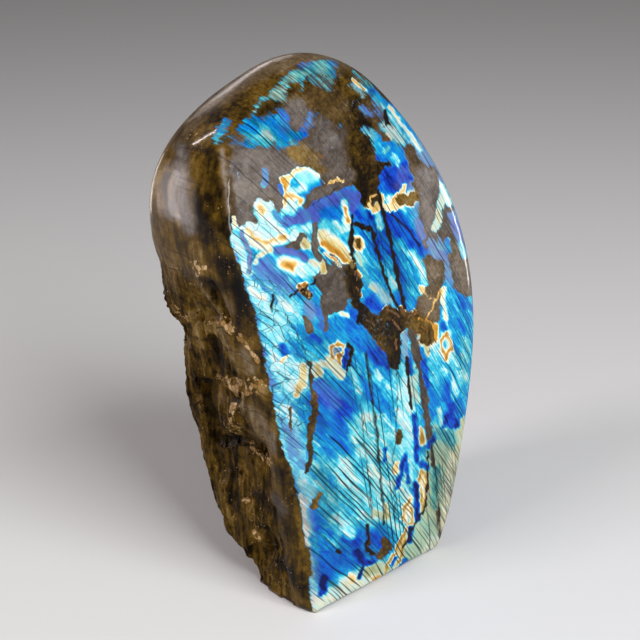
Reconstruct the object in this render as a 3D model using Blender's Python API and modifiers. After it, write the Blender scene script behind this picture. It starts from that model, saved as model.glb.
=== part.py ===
"""A standing piece of labradorite: one natural stone, sawn flat at its foot, ground and polished
over its broad front face, its domed top and its right side, and left as it broke on the lower
left side and the back. Metres, +Z up; the front face looks towards -Y. The origin is on the
surface that the stone stands on, at the middle of its width and depth.
"""

import math

import bmesh
import bpy
from mathutils import Vector, noise

MM = 0.001
STONE_NAME = "labradorite_stone"

# The stone's sections, foot to crown. Every length is in mm, measured from the foot's front left
# corner: x to the right along the front face, y away from it.
SECTIONS_MM = (
    # height, left edge, right edge, front at left, front at right, back at left, back at right
    (0.0, 0.0, 68.0, 0.0, 1.0, 32.0, 55.0),
    (10.0, -0.5, 72.5, 1.2, 1.3, 33.0, 56.0),
    (14.0, -1.0, 76.0, 2.0, 2.2, 57.0, 57.0),
    (50.0, -3.8, 90.0, 6.5, 7.0, 60.0, 58.0),
    (85.0, -9.5, 98.0, 11.5, 12.0, 65.0, 58.0),
    (118.0, -15.0, 94.5, 16.5, 17.0, 66.0, 57.0),
    (147.0, -22.0, 81.5, 21.0, 22.5, 62.5, 55.0),
    (168.0, -12.0, 65.5, 26.0, 29.0, 57.0, 53.0),
    (180.0, 9.0, 54.0, 32.0, 34.0, 53.0, 53.0),
)
# Shares of the width and of the depth at which the control cage has its columns. The columns
# near the corners keep those corners tight, so that the broad faces stay nearly flat.
WIDTH_COLUMNS = (0.0, 0.09, 0.5, 0.92, 1.0)
DEPTH_COLUMNS = (0.0, 0.22, 0.78, 1.0)
# How far the columns are spread out evenly instead, at the last two sections, for a round crown.
CROWN_SPREAD = (0.4, 1.0)
FRONT_BULGE_MM = 2.0
SIDE_BULGE_MM = 5.0
BACK_BULGE_MM = 5.0
FOOT_SIDE_BULGE_MM = 2.0
CROWN_RISE_MM = 9.5
FOOT_CREASE = 1.0
RIDGE_CREASE = 0.35
CAGE_SMOOTHING = 2

# The broken skin. It starts this far behind the polished front ridge, reaches this high on the
# left side and the back, and stops this far short of the polished right side.
SKIN_BEHIND_RIDGE_MM = 7.0
SKIN_TOP_MM = 122.0
SKIN_TOP_WANDER_MM = 14.0
SKIN_RIGHT_MM = 78.0
SKIN_FADE_MM = 7.0
FOOT_FLAT_MM = 1.5
# The ledges of the left side, each along a line that can arch upwards, with the step in under it.
LEFT_LEDGES_MM = (
    # nearest y, furthest y, height at nearest, height at furthest, arch, step in, length of its fall
    (40.0, 70.0, 97.0, 105.0, 0.0, 1.5, 34.0),
    (12.0, 38.0, 97.0, 101.0, 7.0, 3.4, 18.0),
    (9.0, 50.0, 84.0, 79.0, 1.0, 3.0, 15.0),
    (7.0, 46.0, 60.0, 51.0, 1.0, 3.0, 30.0),
    (5.0, 32.0, 31.0, 24.0, 1.0, 2.0, 14.0),
)
LEFT_SIDE_REACH_MM = 24.0
LEDGE_STEP_MM = 3.4
# The ledges of the back, which repeat unevenly.
BACK_LEDGE_PITCH_MM = 25.0
BACK_LEDGE_WANDER_MM = 15.0
BACK_LEDGE_DEPTH_MM = 3.2
LUMP_SIZE_MM = 24.0
LUMP_DEPTH_MM = 2.4
RIB_WIDTH_MM = 7.5
RIB_LENGTH_MM = 52.0
RIB_DEPTH_MM = 1.6
PIT_SIZE_MM = 11.0
PIT_DEPTH_MM = 2.6
SKIN_STANDS_PROUD_MM = 0.9


def bulge(share):
    """How far a face stands out between its corners, as a share of its most, at a share of its length."""
    return 4.0 * share * (1.0 - share)


def smooth_share(low, high, value):
    """0 below low and 1 above high, with a soft turn between."""
    t = min(1.0, max(0.0, (value - low) / (high - low)))
    return t * t * (3.0 - 2.0 * t)


def section_value(height, field):
    """One column of SECTIONS_MM, read between its rows."""
    for low, high in zip(SECTIONS_MM, SECTIONS_MM[1:]):
        if height <= high[0]:
            share = max(0.0, (height - low[0]) / (high[0] - low[0]))
            return low[field] + (high[field] - low[field]) * share
    return SECTIONS_MM[-1][field]


def cage_point(column, row, level):
    """Where one point of the control cage lies, in mm from the foot's front left corner."""
    height, left, right, front_left, front_right, back_left, back_right = SECTIONS_MM[level]
    spread = CROWN_SPREAD[level - len(SECTIONS_MM)] if level >= len(SECTIONS_MM) - len(CROWN_SPREAD) else 0.0
    u = WIDTH_COLUMNS[column] * (1.0 - spread) + spread * column / (len(WIDTH_COLUMNS) - 1)
    v = DEPTH_COLUMNS[row] * (1.0 - spread) + spread * row / (len(DEPTH_COLUMNS) - 1)
    on_foot = level == 0
    front = front_left + (front_right - front_left) * u
    back = back_left + (back_right - back_left) * u
    side_bulge = FOOT_SIDE_BULGE_MM if on_foot else SIDE_BULGE_MM
    if not on_foot:
        front -= FRONT_BULGE_MM * bulge(u)
        back += BACK_BULGE_MM * bulge(u)
    x = left + (right - left) * u + side_bulge * bulge(v) * (2.0 * u - 1.0)
    y = front + (back - front) * v
    if level == len(SECTIONS_MM) - 1:
        height += CROWN_RISE_MM * bulge(u) * bulge(v)
    return Vector((x, y, height))


def add_cage():
    """A cube cut into columns, rows and levels, each point then moved to its place on the stone."""
    counts = (len(WIDTH_COLUMNS) - 1, len(DEPTH_COLUMNS) - 1, len(SECTIONS_MM) - 1)
    columns, rows, levels = counts
    bm = bmesh.new()
    bmesh.ops.create_cube(bm, size=1.0)
    for axis, count in enumerate(counts):
        along = [e for e in bm.edges if abs((e.verts[0].co - e.verts[1].co)[axis]) > 0.5]
        bmesh.ops.subdivide_edges(bm, edges=along, cuts=count - 1, use_grid_fill=True)
    place = {
        vertex: tuple(round((vertex.co[axis] + 0.5) * count) for axis, count in enumerate(counts))
        for vertex in bm.verts
    }
    crease = bm.edges.layers.float.new("crease_edge")
    for edge in bm.edges:
        a, b = (place[vertex] for vertex in edge.verts)
        along_side = a[0] == b[0] and a[0] in (0, columns)
        along_front_or_back = a[1] == b[1] and a[1] in (0, rows)
        if a[2] == b[2] == 0 and (along_side or along_front_or_back):
            edge[crease] = FOOT_CREASE
        elif a[0] == b[0] == 0 and a[1] == b[1] == 0 and max(a[2], b[2]) <= levels - 2:
            edge[crease] = RIDGE_CREASE
    for vertex, (column, row, level) in place.items():
        vertex.co = cage_point(column, row, level) * MM
    mesh = bpy.data.meshes.new(STONE_NAME)
    bm.to_mesh(mesh)
    bm.free()
    return bpy.data.objects.new(STONE_NAME, mesh)


def rounded_mesh(cage):
    """The cage smoothed by Subdivision Surface, as a mesh of its own."""
    smooth = cage.modifiers.new("rounding", "SUBSURF")
    smooth.levels = smooth.render_levels = CAGE_SMOOTHING
    graph = bpy.context.evaluated_depsgraph_get()
    mesh = bpy.data.meshes.new_from_object(cage.evaluated_get(graph))
    cage.modifiers.remove(smooth)
    return mesh


def skin_share(point, normal):
    """How far the surface at a point (mm) is broken skin, from 0, polished, to 1."""
    height = point.z
    behind_ridge = point.y - section_value(height, 3)
    top = SKIN_TOP_MM + SKIN_TOP_WANDER_MM * noise.noise(point / LUMP_SIZE_MM)
    share = smooth_share(SKIN_BEHIND_RIDGE_MM - 3.0, SKIN_BEHIND_RIDGE_MM + SKIN_FADE_MM, behind_ridge)
    share *= 1.0 - smooth_share(top - SKIN_FADE_MM, top + SKIN_FADE_MM, height)
    share *= 1.0 - smooth_share(SKIN_RIGHT_MM - 2.0 * SKIN_FADE_MM, SKIN_RIGHT_MM, point.x)
    faces_out = max(-normal.x, normal.y)
    return share * smooth_share(0.1, 0.5, faces_out) * smooth_share(0.0, FOOT_FLAT_MM, height)


def fall_below(below, step, length):
    """The shape of one ledge, from 0 to 1: a short step in, then a slow rise back to the surface."""
    return smooth_share(0.0, step, below) * max(0.0, 1.0 - below / length) ** 1.3


def left_ledge_recess(point):
    """How deep the left side is set in under its ledges."""
    recess = 0.0
    for near, far, near_height, far_height, arch, depth, length in LEFT_LEDGES_MM:
        along = (point.y - near) / (far - near)
        if 0.0 < along < 1.0:
            line = near_height + (far_height - near_height) * along + arch * bulge(along)
            wander = 2.0 * noise.noise(point / PIT_SIZE_MM)
            ends = smooth_share(0.0, 0.15, along) * smooth_share(0.0, 0.15, 1.0 - along)
            recess += depth * ends * fall_below(line + wander - point.z, LEDGE_STEP_MM, length)
    return recess


def back_ledge_recess(point):
    """How deep the back is set in under its ledges."""
    wander = BACK_LEDGE_WANDER_MM * noise.noise(point / LUMP_SIZE_MM + Vector((5.0, 2.0, 9.0)))
    below = (-(point.z + wander + 0.25 * point.y)) % BACK_LEDGE_PITCH_MM
    strength = max(0.2, 0.6 + 0.8 * noise.noise(point / BACK_LEDGE_PITCH_MM + Vector((1.0, 7.0, 3.0))))
    return BACK_LEDGE_DEPTH_MM * strength * fall_below(below, LEDGE_STEP_MM, BACK_LEDGE_PITCH_MM)


def rib_recess(point):
    """Long upright ribs, where the crystal split along its cleavage."""
    along = point.z / RIB_LENGTH_MM
    across = Vector((point.x / RIB_WIDTH_MM, (point.y + 0.1 * point.z) / RIB_WIDTH_MM, along))
    return RIB_DEPTH_MM * (1.0 - 2.0 * abs(noise.noise(across)))


def skin_recess(point):
    """How deep the broken skin lies under the smooth form at a point, in mm."""
    on_left_side = 1.0 - smooth_share(0.0, LEFT_SIDE_REACH_MM, point.x - section_value(point.z, 1))
    ledges = left_ledge_recess(point) * on_left_side + back_ledge_recess(point) * (1.0 - on_left_side)
    lump = LUMP_DEPTH_MM * noise.noise(point / LUMP_SIZE_MM + Vector((3.0, 3.0, 3.0)))
    pit = PIT_DEPTH_MM * smooth_share(0.25, 0.6, noise.noise(point / PIT_SIZE_MM + Vector((8.0, 1.0, 4.0))))
    return ledges + rib_recess(point) + lump + pit - SKIN_STANDS_PROUD_MM


def roughen(mesh):
    """Cuts the faces of the broken skin finer, then moves their points along their normals."""
    bm = bmesh.new()
    bm.from_mesh(mesh)
    bm.normal_update()
    skin_faces = [f for f in bm.faces if skin_share(f.calc_center_median() / MM, f.normal) > 0.3]
    edges = list({edge for face in skin_faces for edge in face.edges})
    bmesh.ops.subdivide_edges(bm, edges=edges, cuts=1, use_grid_fill=True)
    bm.normal_update()
    moves = {}
    for vertex in bm.verts:
        point = vertex.co / MM
        share = skin_share(point, vertex.normal)
        if share > 0.0:
            moves[vertex] = -vertex.normal * skin_recess(point) * share * MM
    for vertex, move in moves.items():
        vertex.co += move
    bm.to_mesh(mesh)
    bm.free()


def stand_on_origin(mesh):
    """Moves the mesh so that the middle of its width and depth is over the origin."""
    xs = [vertex.co.x for vertex in mesh.vertices]
    ys = [vertex.co.y for vertex in mesh.vertices]
    shift = Vector((-(min(xs) + max(xs)) / 2.0, -(min(ys) + max(ys)) / 2.0, 0.0))
    for vertex in mesh.vertices:
        vertex.co += shift
    return shift


def stone_material():
    """Dark feldspar under a polish, in the blue-grey that its flash gives it from a step away."""
    material = bpy.data.materials.new("labradorite")
    material.use_nodes = True
    surface = material.node_tree.nodes["Principled BSDF"]
    surface.inputs["Base Color"].default_value = (0.10, 0.17, 0.24, 1.0)
    surface.inputs["Roughness"].default_value = 0.2
    surface.inputs["Metallic"].default_value = 0.0
    return material


def main():
    for old in list(bpy.data.objects):
        bpy.data.objects.remove(old)
    collection = bpy.data.collections.new("labradorite")
    bpy.context.scene.collection.children.link(collection)
    stone = add_cage()
    collection.objects.link(stone)
    cage_mesh = stone.data
    stone.data = rounded_mesh(stone)
    bpy.data.meshes.remove(cage_mesh)
    roughen(stone.data)
    shift = stand_on_origin(stone.data)
    print("the foot's front left corner is", [round(length / MM, 2) for length in shift], "mm from the origin")
    stone.data.name = STONE_NAME
    stone.data.materials.append(stone_material())
    stone.data.shade_smooth()
    stone.data.set_sharp_from_angle(angle=math.radians(35.0))
    return shift


main()
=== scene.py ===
# %% [markdown]
# # A standing piece of labradorite
#
# Labradorite is a feldspar. It grew in thin sheets, so thin that light that is thrown back from one
# sheet meets light from the next, and some colours are added up while others are lost. Where the
# stone is polished across these sheets it flashes blue, and in places white and gold. Between the
# flashing parts the stone is plain brown and grey. This piece was sawn flat at its foot, polished in
# front, on top and on its right side, and left as it broke on the lower left side and the back.
#
# The stone's size and form come from the frame. This script gives it a fine surface, the fracture
# relief, and a material whose marks are laid on one short stroke after another.

# %% Load the frame
import math

import bpy
import numpy as np
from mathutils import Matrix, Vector, noise


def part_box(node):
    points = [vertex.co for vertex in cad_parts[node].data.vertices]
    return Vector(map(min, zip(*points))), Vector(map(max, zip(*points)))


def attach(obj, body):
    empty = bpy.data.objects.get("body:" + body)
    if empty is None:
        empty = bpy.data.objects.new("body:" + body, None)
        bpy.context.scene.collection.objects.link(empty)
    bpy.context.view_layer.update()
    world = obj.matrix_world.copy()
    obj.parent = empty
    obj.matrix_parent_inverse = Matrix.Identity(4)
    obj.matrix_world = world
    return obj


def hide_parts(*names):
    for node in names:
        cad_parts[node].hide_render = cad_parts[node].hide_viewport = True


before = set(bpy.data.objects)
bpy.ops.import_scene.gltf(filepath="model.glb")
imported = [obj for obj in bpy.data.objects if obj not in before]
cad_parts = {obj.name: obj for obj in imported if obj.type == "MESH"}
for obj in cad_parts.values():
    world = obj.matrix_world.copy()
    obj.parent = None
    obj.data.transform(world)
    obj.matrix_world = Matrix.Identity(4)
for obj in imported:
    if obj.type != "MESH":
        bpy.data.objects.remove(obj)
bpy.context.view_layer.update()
STONE_NODE = "labradorite_stone"
MM = 0.001
low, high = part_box(STONE_NODE)
print("stone in mm:", [round(side / MM, 1) for side in high - low])

# %% [markdown]
# ## The camera
#
# The camera stands to the left of the stone and looks down on it, so that both the bright front and
# the dark broken side show. A long lens keeps the upright edges nearly straight. Its place was
# worked out from the two edges of the sawn foot, which meet at a right angle on the real stone.

# %% Camera
LENS_MM = 80.0
SENSOR_MM = 36.0
CAMERA_AZIMUTH = math.radians(-43.0)
CAMERA_PITCH = math.radians(22.0)
CAMERA_AT_MM = Vector((-326.57, -345.52, 283.79))
NEAREST_SEEN = 0.01

to_camera = Vector((
    math.sin(CAMERA_AZIMUTH) * math.cos(CAMERA_PITCH),
    -math.cos(CAMERA_AZIMUTH) * math.cos(CAMERA_PITCH),
    math.sin(CAMERA_PITCH),
))
camera = bpy.data.objects.new("camera", bpy.data.cameras.new("camera"))
camera.data.lens = LENS_MM
camera.data.sensor_width = SENSOR_MM
camera.data.clip_start = NEAREST_SEEN
camera.location = CAMERA_AT_MM * MM
camera.rotation_euler = to_camera.to_track_quat("Z", "Y").to_euler()
bpy.context.scene.collection.objects.link(camera)
bpy.context.scene.camera = camera
print("camera looks down", round(math.degrees(CAMERA_PITCH)), "degrees")

# %% [markdown]
# ## The floor
#
# The stone stands on a plain pale floor, so that its dark side and its colours both stand out. One
# big plane is enough.

# %% Floor
FLOOR_SIDE = 6.0
FLOOR_COLOUR = (0.76, 0.76, 0.77)
FLOOR_ROUGHNESS = 0.6


def plain_material(name, colour, roughness):
    """One even matt colour."""
    material = bpy.data.materials.new(name)
    material.use_nodes = True
    surface = material.node_tree.nodes["Principled BSDF"]
    surface.inputs["Base Color"].default_value = (*colour, 1.0)
    surface.inputs["Roughness"].default_value = roughness
    surface.inputs["Specular IOR Level"].default_value = 0.0
    return material


bpy.ops.object.select_all(action="DESELECT")
bpy.ops.mesh.primitive_plane_add(size=FLOOR_SIDE)
floor = bpy.context.object
floor.name = "floor"
floor.data.materials.append(plain_material("pale_floor", FLOOR_COLOUR, FLOOR_ROUGHNESS))
print("floor side in metres:", FLOOR_SIDE)

# %% [markdown]
# ## The lamps
#
# A polished stone shows its lamps as bright bands, so where they stand matters as much as how
# bright they are. Here there are two kinds of lamp, so that each can be set without the other. The
# first kind lights the stone and isn't mirrored in it: a broad soft one in front, and a smaller one
# on the left for the broken side. The second kind is seen by the polish alone. A nest of lamps, each
# narrower than the one behind it, makes the soft band on the rounded left shoulder. The others draw
# the glint above it, the sheen on the crown and on the back, and the thin lines down the front ridge
# and the right edge.

# %% Lamps
WHITE = (1.0, 1.0, 1.0)
MAUVE_WHITE = (1.0, 0.90, 0.90)
PEACH_WHITE = (1.0, 0.90, 0.80)

LIGHTING_LAMPS = {
    # name: azimuth and elevation in degrees, distance, width and height in metres, watts, tint
    "front_softbox": (-5.0, 40.0, 1.1, 0.7, 0.7, 12.8, WHITE),
    "left_softbox": (-105.0, 45.0, 0.9, 0.25, 0.25, 2.9, MAUVE_WHITE),
}
SHOULDER_DIRECTION = (-137.0, 4.0)
SHOULDER_DISTANCE = 0.40
SHOULDER_GAP = 0.004
SHOULDER_NEST = (
    # width and height in metres, and watts, from the farthest lamp to the nearest
    (0.28, 0.18, 0.30),
    (0.25, 0.22, 0.36),
    (0.20, 0.25, 0.34),
    (0.12, 0.27, 0.26),
    (0.04, 0.20, 0.30),
)
MIRRORED_LAMPS = {
    # the same columns as the lamps that light the stone
    "shoulder_glint": (-147.0, 46.0, 0.60, 0.014, 0.20, 0.8, MAUVE_WHITE),
    "back_band": (-179.0, -2.0, 0.45, 0.05, 0.18, 0.30, PEACH_WHITE),
    "crown_band": (158.0, 34.0, 0.60, 0.38, 0.20, 0.70, MAUVE_WHITE),
    "crown_core": (158.0, 34.0, 0.59, 0.20, 0.10, 0.35, MAUVE_WHITE),
    "ridge_line": (-6.0, 11.0, 0.80, 0.08, 0.45, 3.6, WHITE),
    "rim_line": (75.0, -2.0, 0.50, 0.04, 0.14, 0.8, WHITE),
}


def add_lamp(name, azimuth, elevation, distance, width, height, watts, tint, mirrored=True):
    """A soft lamp that faces the stone: one that lights it, or one that the polish only mirrors."""
    around, up = math.radians(azimuth), math.radians(elevation)
    away = Vector((
        math.sin(around) * math.cos(up),
        -math.cos(around) * math.cos(up),
        math.sin(up),
    ))
    light = bpy.data.lights.new(name, "AREA")
    light.shape = "RECTANGLE"
    light.size, light.size_y = width, height
    light.energy = watts
    light.color = tint
    lamp = bpy.data.objects.new(name, light)
    lamp.location = Vector((0.0, 0.0, high.z / 2.0)) + away * distance
    lamp.rotation_euler = away.to_track_quat("Z", "Y").to_euler()
    lamp.visible_glossy = mirrored
    lamp.visible_diffuse = not mirrored
    lamp.visible_camera = False
    bpy.context.scene.collection.objects.link(lamp)
    return lamp


for name, lamp in LIGHTING_LAMPS.items():
    add_lamp(name, *lamp, mirrored=False)
for step, size_and_watts in enumerate(SHOULDER_NEST):
    nearer = SHOULDER_DISTANCE - SHOULDER_GAP * step
    add_lamp("shoulder_band_" + str(step), *SHOULDER_DIRECTION, nearer, *size_and_watts, MAUVE_WHITE)
for name, lamp in MIRRORED_LAMPS.items():
    add_lamp(name, *lamp)

# %% [markdown]
# ## The room
#
# A weak, slightly warm light from all sides stands for the walls of the room, so that no hollow of
# the broken side goes quite black. The view transform is the plain one, which leaves the strong
# blues as they were mixed.

# %% Light of the room
ROOM_COLOUR = (1.0, 0.97, 0.94)
ROOM_STRENGTH = 0.15
world = bpy.data.worlds.new("studio")
world.use_nodes = True
room_light = world.node_tree.nodes["Background"]
room_light.inputs["Color"].default_value = (*ROOM_COLOUR, 1.0)
room_light.inputs["Strength"].default_value = ROOM_STRENGTH
bpy.context.scene.world = world
bpy.context.scene.view_settings.view_transform = "Standard"
print("light of the room:", ROOM_STRENGTH)

# %% [markdown]
# ## A fine mesh for the stone
#
# The frame's solid has flat facets a few millimetres wide. A copy of it is merged into one skin, its
# facets are paired into quads and rounded by Subdivision Surface, and Remesh then gives it even
# cells. The marks are stored on the mesh's points, so the polished front and the broken left side
# are cut finer than the back, which keeps the whole piece under its limit of triangles.

# %% Fine mesh
CELL = 1.32 * MM
SAME_POINT = 0.00001
PAIRING_ANGLE = 0.8
FACET_CREASE_ANGLE = math.radians(40.0)
FACET_CREASE = 0.8
ROUNDING_LEVELS = 2


def select_only(piece):
    """Makes one object the selected and active one."""
    bpy.ops.object.select_all(action="DESELECT")
    piece.select_set(True)
    bpy.context.view_layer.objects.active = piece


def apply(piece, modifier):
    """Turns a modifier into plain mesh."""
    select_only(piece)
    bpy.ops.object.modifier_apply(modifier=modifier.name)


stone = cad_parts[STONE_NODE].copy()
stone.data = stone.data.copy()
stone.name = "polished_labradorite"
stone.parent = None
for key in list(stone.keys()):
    del stone[key]
bpy.context.scene.collection.objects.link(stone)
select_only(stone)
bpy.ops.object.mode_set(mode="EDIT")
bpy.ops.mesh.select_all(action="SELECT")
bpy.ops.mesh.remove_doubles(threshold=SAME_POINT)
bpy.ops.mesh.tris_convert_to_quads(face_threshold=PAIRING_ANGLE, shape_threshold=PAIRING_ANGLE)
bpy.ops.mesh.select_all(action="DESELECT")
bpy.ops.mesh.edges_select_sharp(sharpness=FACET_CREASE_ANGLE)
bpy.ops.transform.edge_crease(value=FACET_CREASE)
bpy.ops.object.mode_set(mode="OBJECT")

rounding = stone.modifiers.new("rounding", "SUBSURF")
rounding.levels = rounding.render_levels = ROUNDING_LEVELS
apply(stone, rounding)
cells = stone.modifiers.new("even_cells", "REMESH")
cells.mode = "VOXEL"
cells.voxel_size = CELL
apply(stone, cells)
print("points in even cells:", len(stone.data.vertices))

# %% [markdown]
# ## Where the stone is polished and where it broke
#
# A polish only reaches what a grinding wheel can reach. The wheel took the front, the crown and the
# right side, and a strip behind the front ridge. Behind that strip the stone shows the skin that it
# broke with. The share of broken skin is worked out for every point from its place and its normal,
# and is kept as a vertex group, so that Displace modifiers can work on the broken skin alone.

# %% The broken skin
FOOT_CORNER_MM = np.array([-38.53, -33.54, 0.0])
RIDGE_LEAN = 0.14
SKIN_BEHIND_RIDGE_MM = 6.0
SKIN_TOP_MM = 116.0
SKIN_WANDER_MM = 15.0
SKIN_WANDER_CELL_MM = 22.0
SKIN_RIGHT_MM = 70.0
SKIN_SOFT_MM = 6.0
SKIN_FACING = (0.1, 0.5)
FOOT_EDGE_MM = 1.0
WEIGHT_STEPS = 20
SEED_SHIFT = (17.3, 5.1, 9.7)


def points_and_normals(piece):
    """Every point of a mesh in mm, with its normal."""
    count = len(piece.data.vertices)
    points = np.empty(count * 3)
    normals = np.empty(count * 3)
    piece.data.vertices.foreach_get("co", points)
    piece.data.vertex_normals.foreach_get("vector", normals)
    return points.reshape(-1, 3) / MM, normals.reshape(-1, 3)


def soft_step(low, high, value):
    """0 below low and 1 above high, with a soft turn between, for a whole array at once."""
    t = np.clip((value - low) / (high - low), 0.0, 1.0)
    return t * t * (3.0 - 2.0 * t)


def wander(points, size, seed):
    """Smooth noise from -1 to 1 at each point, whose lumps are about size mm wide."""
    shift = Vector([seed * part for part in SEED_SHIFT])
    return np.array([noise.noise(Vector(p) / size + shift) for p in points])


def broken_share(points, normals):
    """How far each point is broken skin, from 0, polished, to 1."""
    placed = points - FOOT_CORNER_MM
    behind = placed[:, 1] - RIDGE_LEAN * placed[:, 2]
    top = SKIN_TOP_MM + SKIN_WANDER_MM * wander(points, SKIN_WANDER_CELL_MM, 1)
    share = soft_step(SKIN_BEHIND_RIDGE_MM, SKIN_BEHIND_RIDGE_MM + SKIN_SOFT_MM, behind)
    share *= 1.0 - soft_step(top - 2.0 * SKIN_SOFT_MM, top + 3.0 * SKIN_SOFT_MM, placed[:, 2])
    share *= 1.0 - soft_step(SKIN_RIGHT_MM, SKIN_RIGHT_MM + 2.0 * SKIN_SOFT_MM, placed[:, 0])
    share *= soft_step(*SKIN_FACING, np.maximum(-normals[:, 0], normals[:, 1]))
    return share * soft_step(0.0, FOOT_EDGE_MM, placed[:, 2])


def vertex_group(piece, name, weights):
    """Keeps one weight for each point, in steps of a twentieth."""
    group = piece.vertex_groups.new(name=name)
    steps = np.round(weights * WEIGHT_STEPS).astype(int)
    for step in range(1, WEIGHT_STEPS + 1):
        members = np.flatnonzero(steps == step)
        if len(members):
            group.add(members.tolist(), step / WEIGHT_STEPS, "REPLACE")
    return group


points, normals = points_and_normals(stone)
broken = broken_share(points, normals)
vertex_group(stone, "broken_skin", broken)
vertex_group(stone, "polished", 1.0 - broken)
print("broken share of the points:", round(float((broken > 0.5).mean()), 2))

# %% [markdown]
# ## Smoothing the polished part
#
# Remesh leaves small steps, like those of a staircase, where a face runs at a slant. Smooth takes
# them out of the polished part only, so that the ledges of the broken skin stay crisp. All that the
# camera sees is then cut once more, to half the cell.

# %% Smoothing
SMOOTHING = 0.5
SMOOTHING_ROUNDS = (6, 4)
SEEN_FACING = 0.08


def select_faces(piece, wanted):
    """Selects the faces whose normal passes a test, and leaves edit mode on."""
    select_only(piece)
    bpy.ops.object.mode_set(mode="EDIT")
    bpy.ops.mesh.select_mode(type="FACE")
    bpy.ops.mesh.select_all(action="DESELECT")
    bpy.ops.object.mode_set(mode="OBJECT")
    chosen = np.array([wanted(face.normal) for face in piece.data.polygons])
    piece.data.polygons.foreach_set("select", chosen)
    bpy.ops.object.mode_set(mode="EDIT")


def in_sight(normal):
    """Whether a face looks towards the camera."""
    return normal.dot(to_camera) > SEEN_FACING


def smooth_polished(piece, rounds):
    """Evens the mesh out where the stone is polished."""
    even_out = piece.modifiers.new("even_out", "SMOOTH")
    even_out.factor, even_out.iterations = SMOOTHING, rounds
    even_out.vertex_group = "polished"
    apply(piece, even_out)


smooth_polished(stone, SMOOTHING_ROUNDS[0])
select_faces(stone, in_sight)
bpy.ops.mesh.subdivide(number_cuts=1)
bpy.ops.object.mode_set(mode="OBJECT")
smooth_polished(stone, SMOOTHING_ROUNDS[1])
select_only(stone)
bpy.ops.object.shade_smooth()
points, normals = points_and_normals(stone)
broken = broken_share(points, normals)
triangles = sum(len(face.vertices) - 2 for face in stone.data.polygons)
print("points:", len(stone.data.vertices), "triangles:", triangles)

# %% [markdown]
# ## Finding one's way over the stone
#
# The marks are laid on from where the camera stands, as if with a brush on the end of the line of
# sight. So each point gets its place in the picture, in pixels, once. A little noise is added to
# that place, which gives every stroke the uneven edge of a natural mark. Points that face away from
# the camera take no strokes. They get a pattern of their own further down.

# %% Each point's place in the picture
PICTURE_SIDE = 640
EDGE_WANDER = 1.6
EDGE_WANDER_CELL_MM = 2.4
REACHED_FACING = (0.02, 0.12)

camera_rotation = camera.rotation_euler.to_matrix()
sideways = np.array(camera_rotation.col[0])
upwards = np.array(camera_rotation.col[1])
backwards = np.array(camera_rotation.col[2])
from_camera = points - np.array(CAMERA_AT_MM)
distance = -from_camera @ backwards
pixels_per_unit = LENS_MM / SENSOR_MM * PICTURE_SIDE
picture_x = PICTURE_SIDE / 2 + from_camera @ sideways / distance * pixels_per_unit
picture_y = PICTURE_SIDE / 2 - from_camera @ upwards / distance * pixels_per_unit
sight = from_camera / np.linalg.norm(from_camera, axis=1)[:, None]
facing = -np.einsum("ij,ij->i", sight, normals)
picture_x += EDGE_WANDER * wander(points, EDGE_WANDER_CELL_MM, 2)
picture_y += EDGE_WANDER * wander(points, EDGE_WANDER_CELL_MM, 3)
reached = soft_step(*REACHED_FACING, facing)
print("points in sight:", int((facing > 0).sum()), "of", len(points))

# %% [markdown]
# ## The grain of the crystal
#
# The thin sheets come up to the polished face as fine lines. They run from the upper left to the
# lower right, steeper on the right side of the stone. Two lengths are kept for every point: how far
# it lies across these lines, and how far along them. A noise that is read with these two lengths,
# and drawn out along the second, gives lines that follow the crystal.

# %% Grain
GRAIN_SLOPE = 1.41
GRAIN_TURN = 0.00415
ACROSS_SHARE = 0.6
ALONG_GRAIN = (0.58, -0.81)
across = ACROSS_SHARE * (points[:, 2] + GRAIN_SLOPE * points[:, 0] + GRAIN_TURN * points[:, 0] ** 2)
along = ALONG_GRAIN[0] * points[:, 0] + ALONG_GRAIN[1] * points[:, 2]
grain = np.stack([across, along, points[:, 1]], axis=1)
print("lines cross", round(float(np.ptp(across))), "mm of stone")

# %% [markdown]
# A mark on the stone ends raggedly, like the teeth of a comb, because each sheet ends in a place of
# its own. So each point's place in the picture is also pushed along the grain, by a noise that
# changes quickly across the sheets and slowly along them. The front ridge is cut straight, so the
# push starts a little to its right.

# %% Combed edges
COMB_PUSH = 2.4
COMB_TOOTH_MM = 1.2
COMB_LENGTH_MM = 26.0
COMB_DEPTH_MM = 10.0
COMB_FACING = (0.2, 0.6)
COMB_BESIDE_RIDGE = (3.0, 16.0)
GRAIN_IN_PICTURE = (0.62, 0.78)

FRONT_RIDGE = ((222, 140), (226, 200), (230, 240), (240, 266), (249, 296), (258, 328), (266, 364),
               (274, 404), (281, 440), (293, 480), (298, 500), (305, 540), (309, 580), (313, 612))
ridge_xs, ridge_ys = np.array(FRONT_RIDGE, dtype=float).T
right_of_ridge = picture_x - np.interp(picture_y, ridge_ys, ridge_xs)
teeth_at = grain * (1.0 / COMB_TOOTH_MM, 1.0 / COMB_LENGTH_MM, 1.0 / COMB_DEPTH_MM)
push = COMB_PUSH * wander(teeth_at, 1.0, 7) * soft_step(*COMB_FACING, -normals[:, 1])
push *= soft_step(*COMB_BESIDE_RIDGE, right_of_ridge)
picture_x += push * GRAIN_IN_PICTURE[0]
picture_y += push * GRAIN_IN_PICTURE[1]
print("longest push in pixels:", round(float(np.abs(push).max()), 1))

# %% [markdown]
# ## A brush
#
# Every mark is made with the same brush. It is dragged along a line through a few places in the
# picture, and it says which points of the mesh it touched and how fully. Between its half width and
# nothing it fades out softly.

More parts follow.
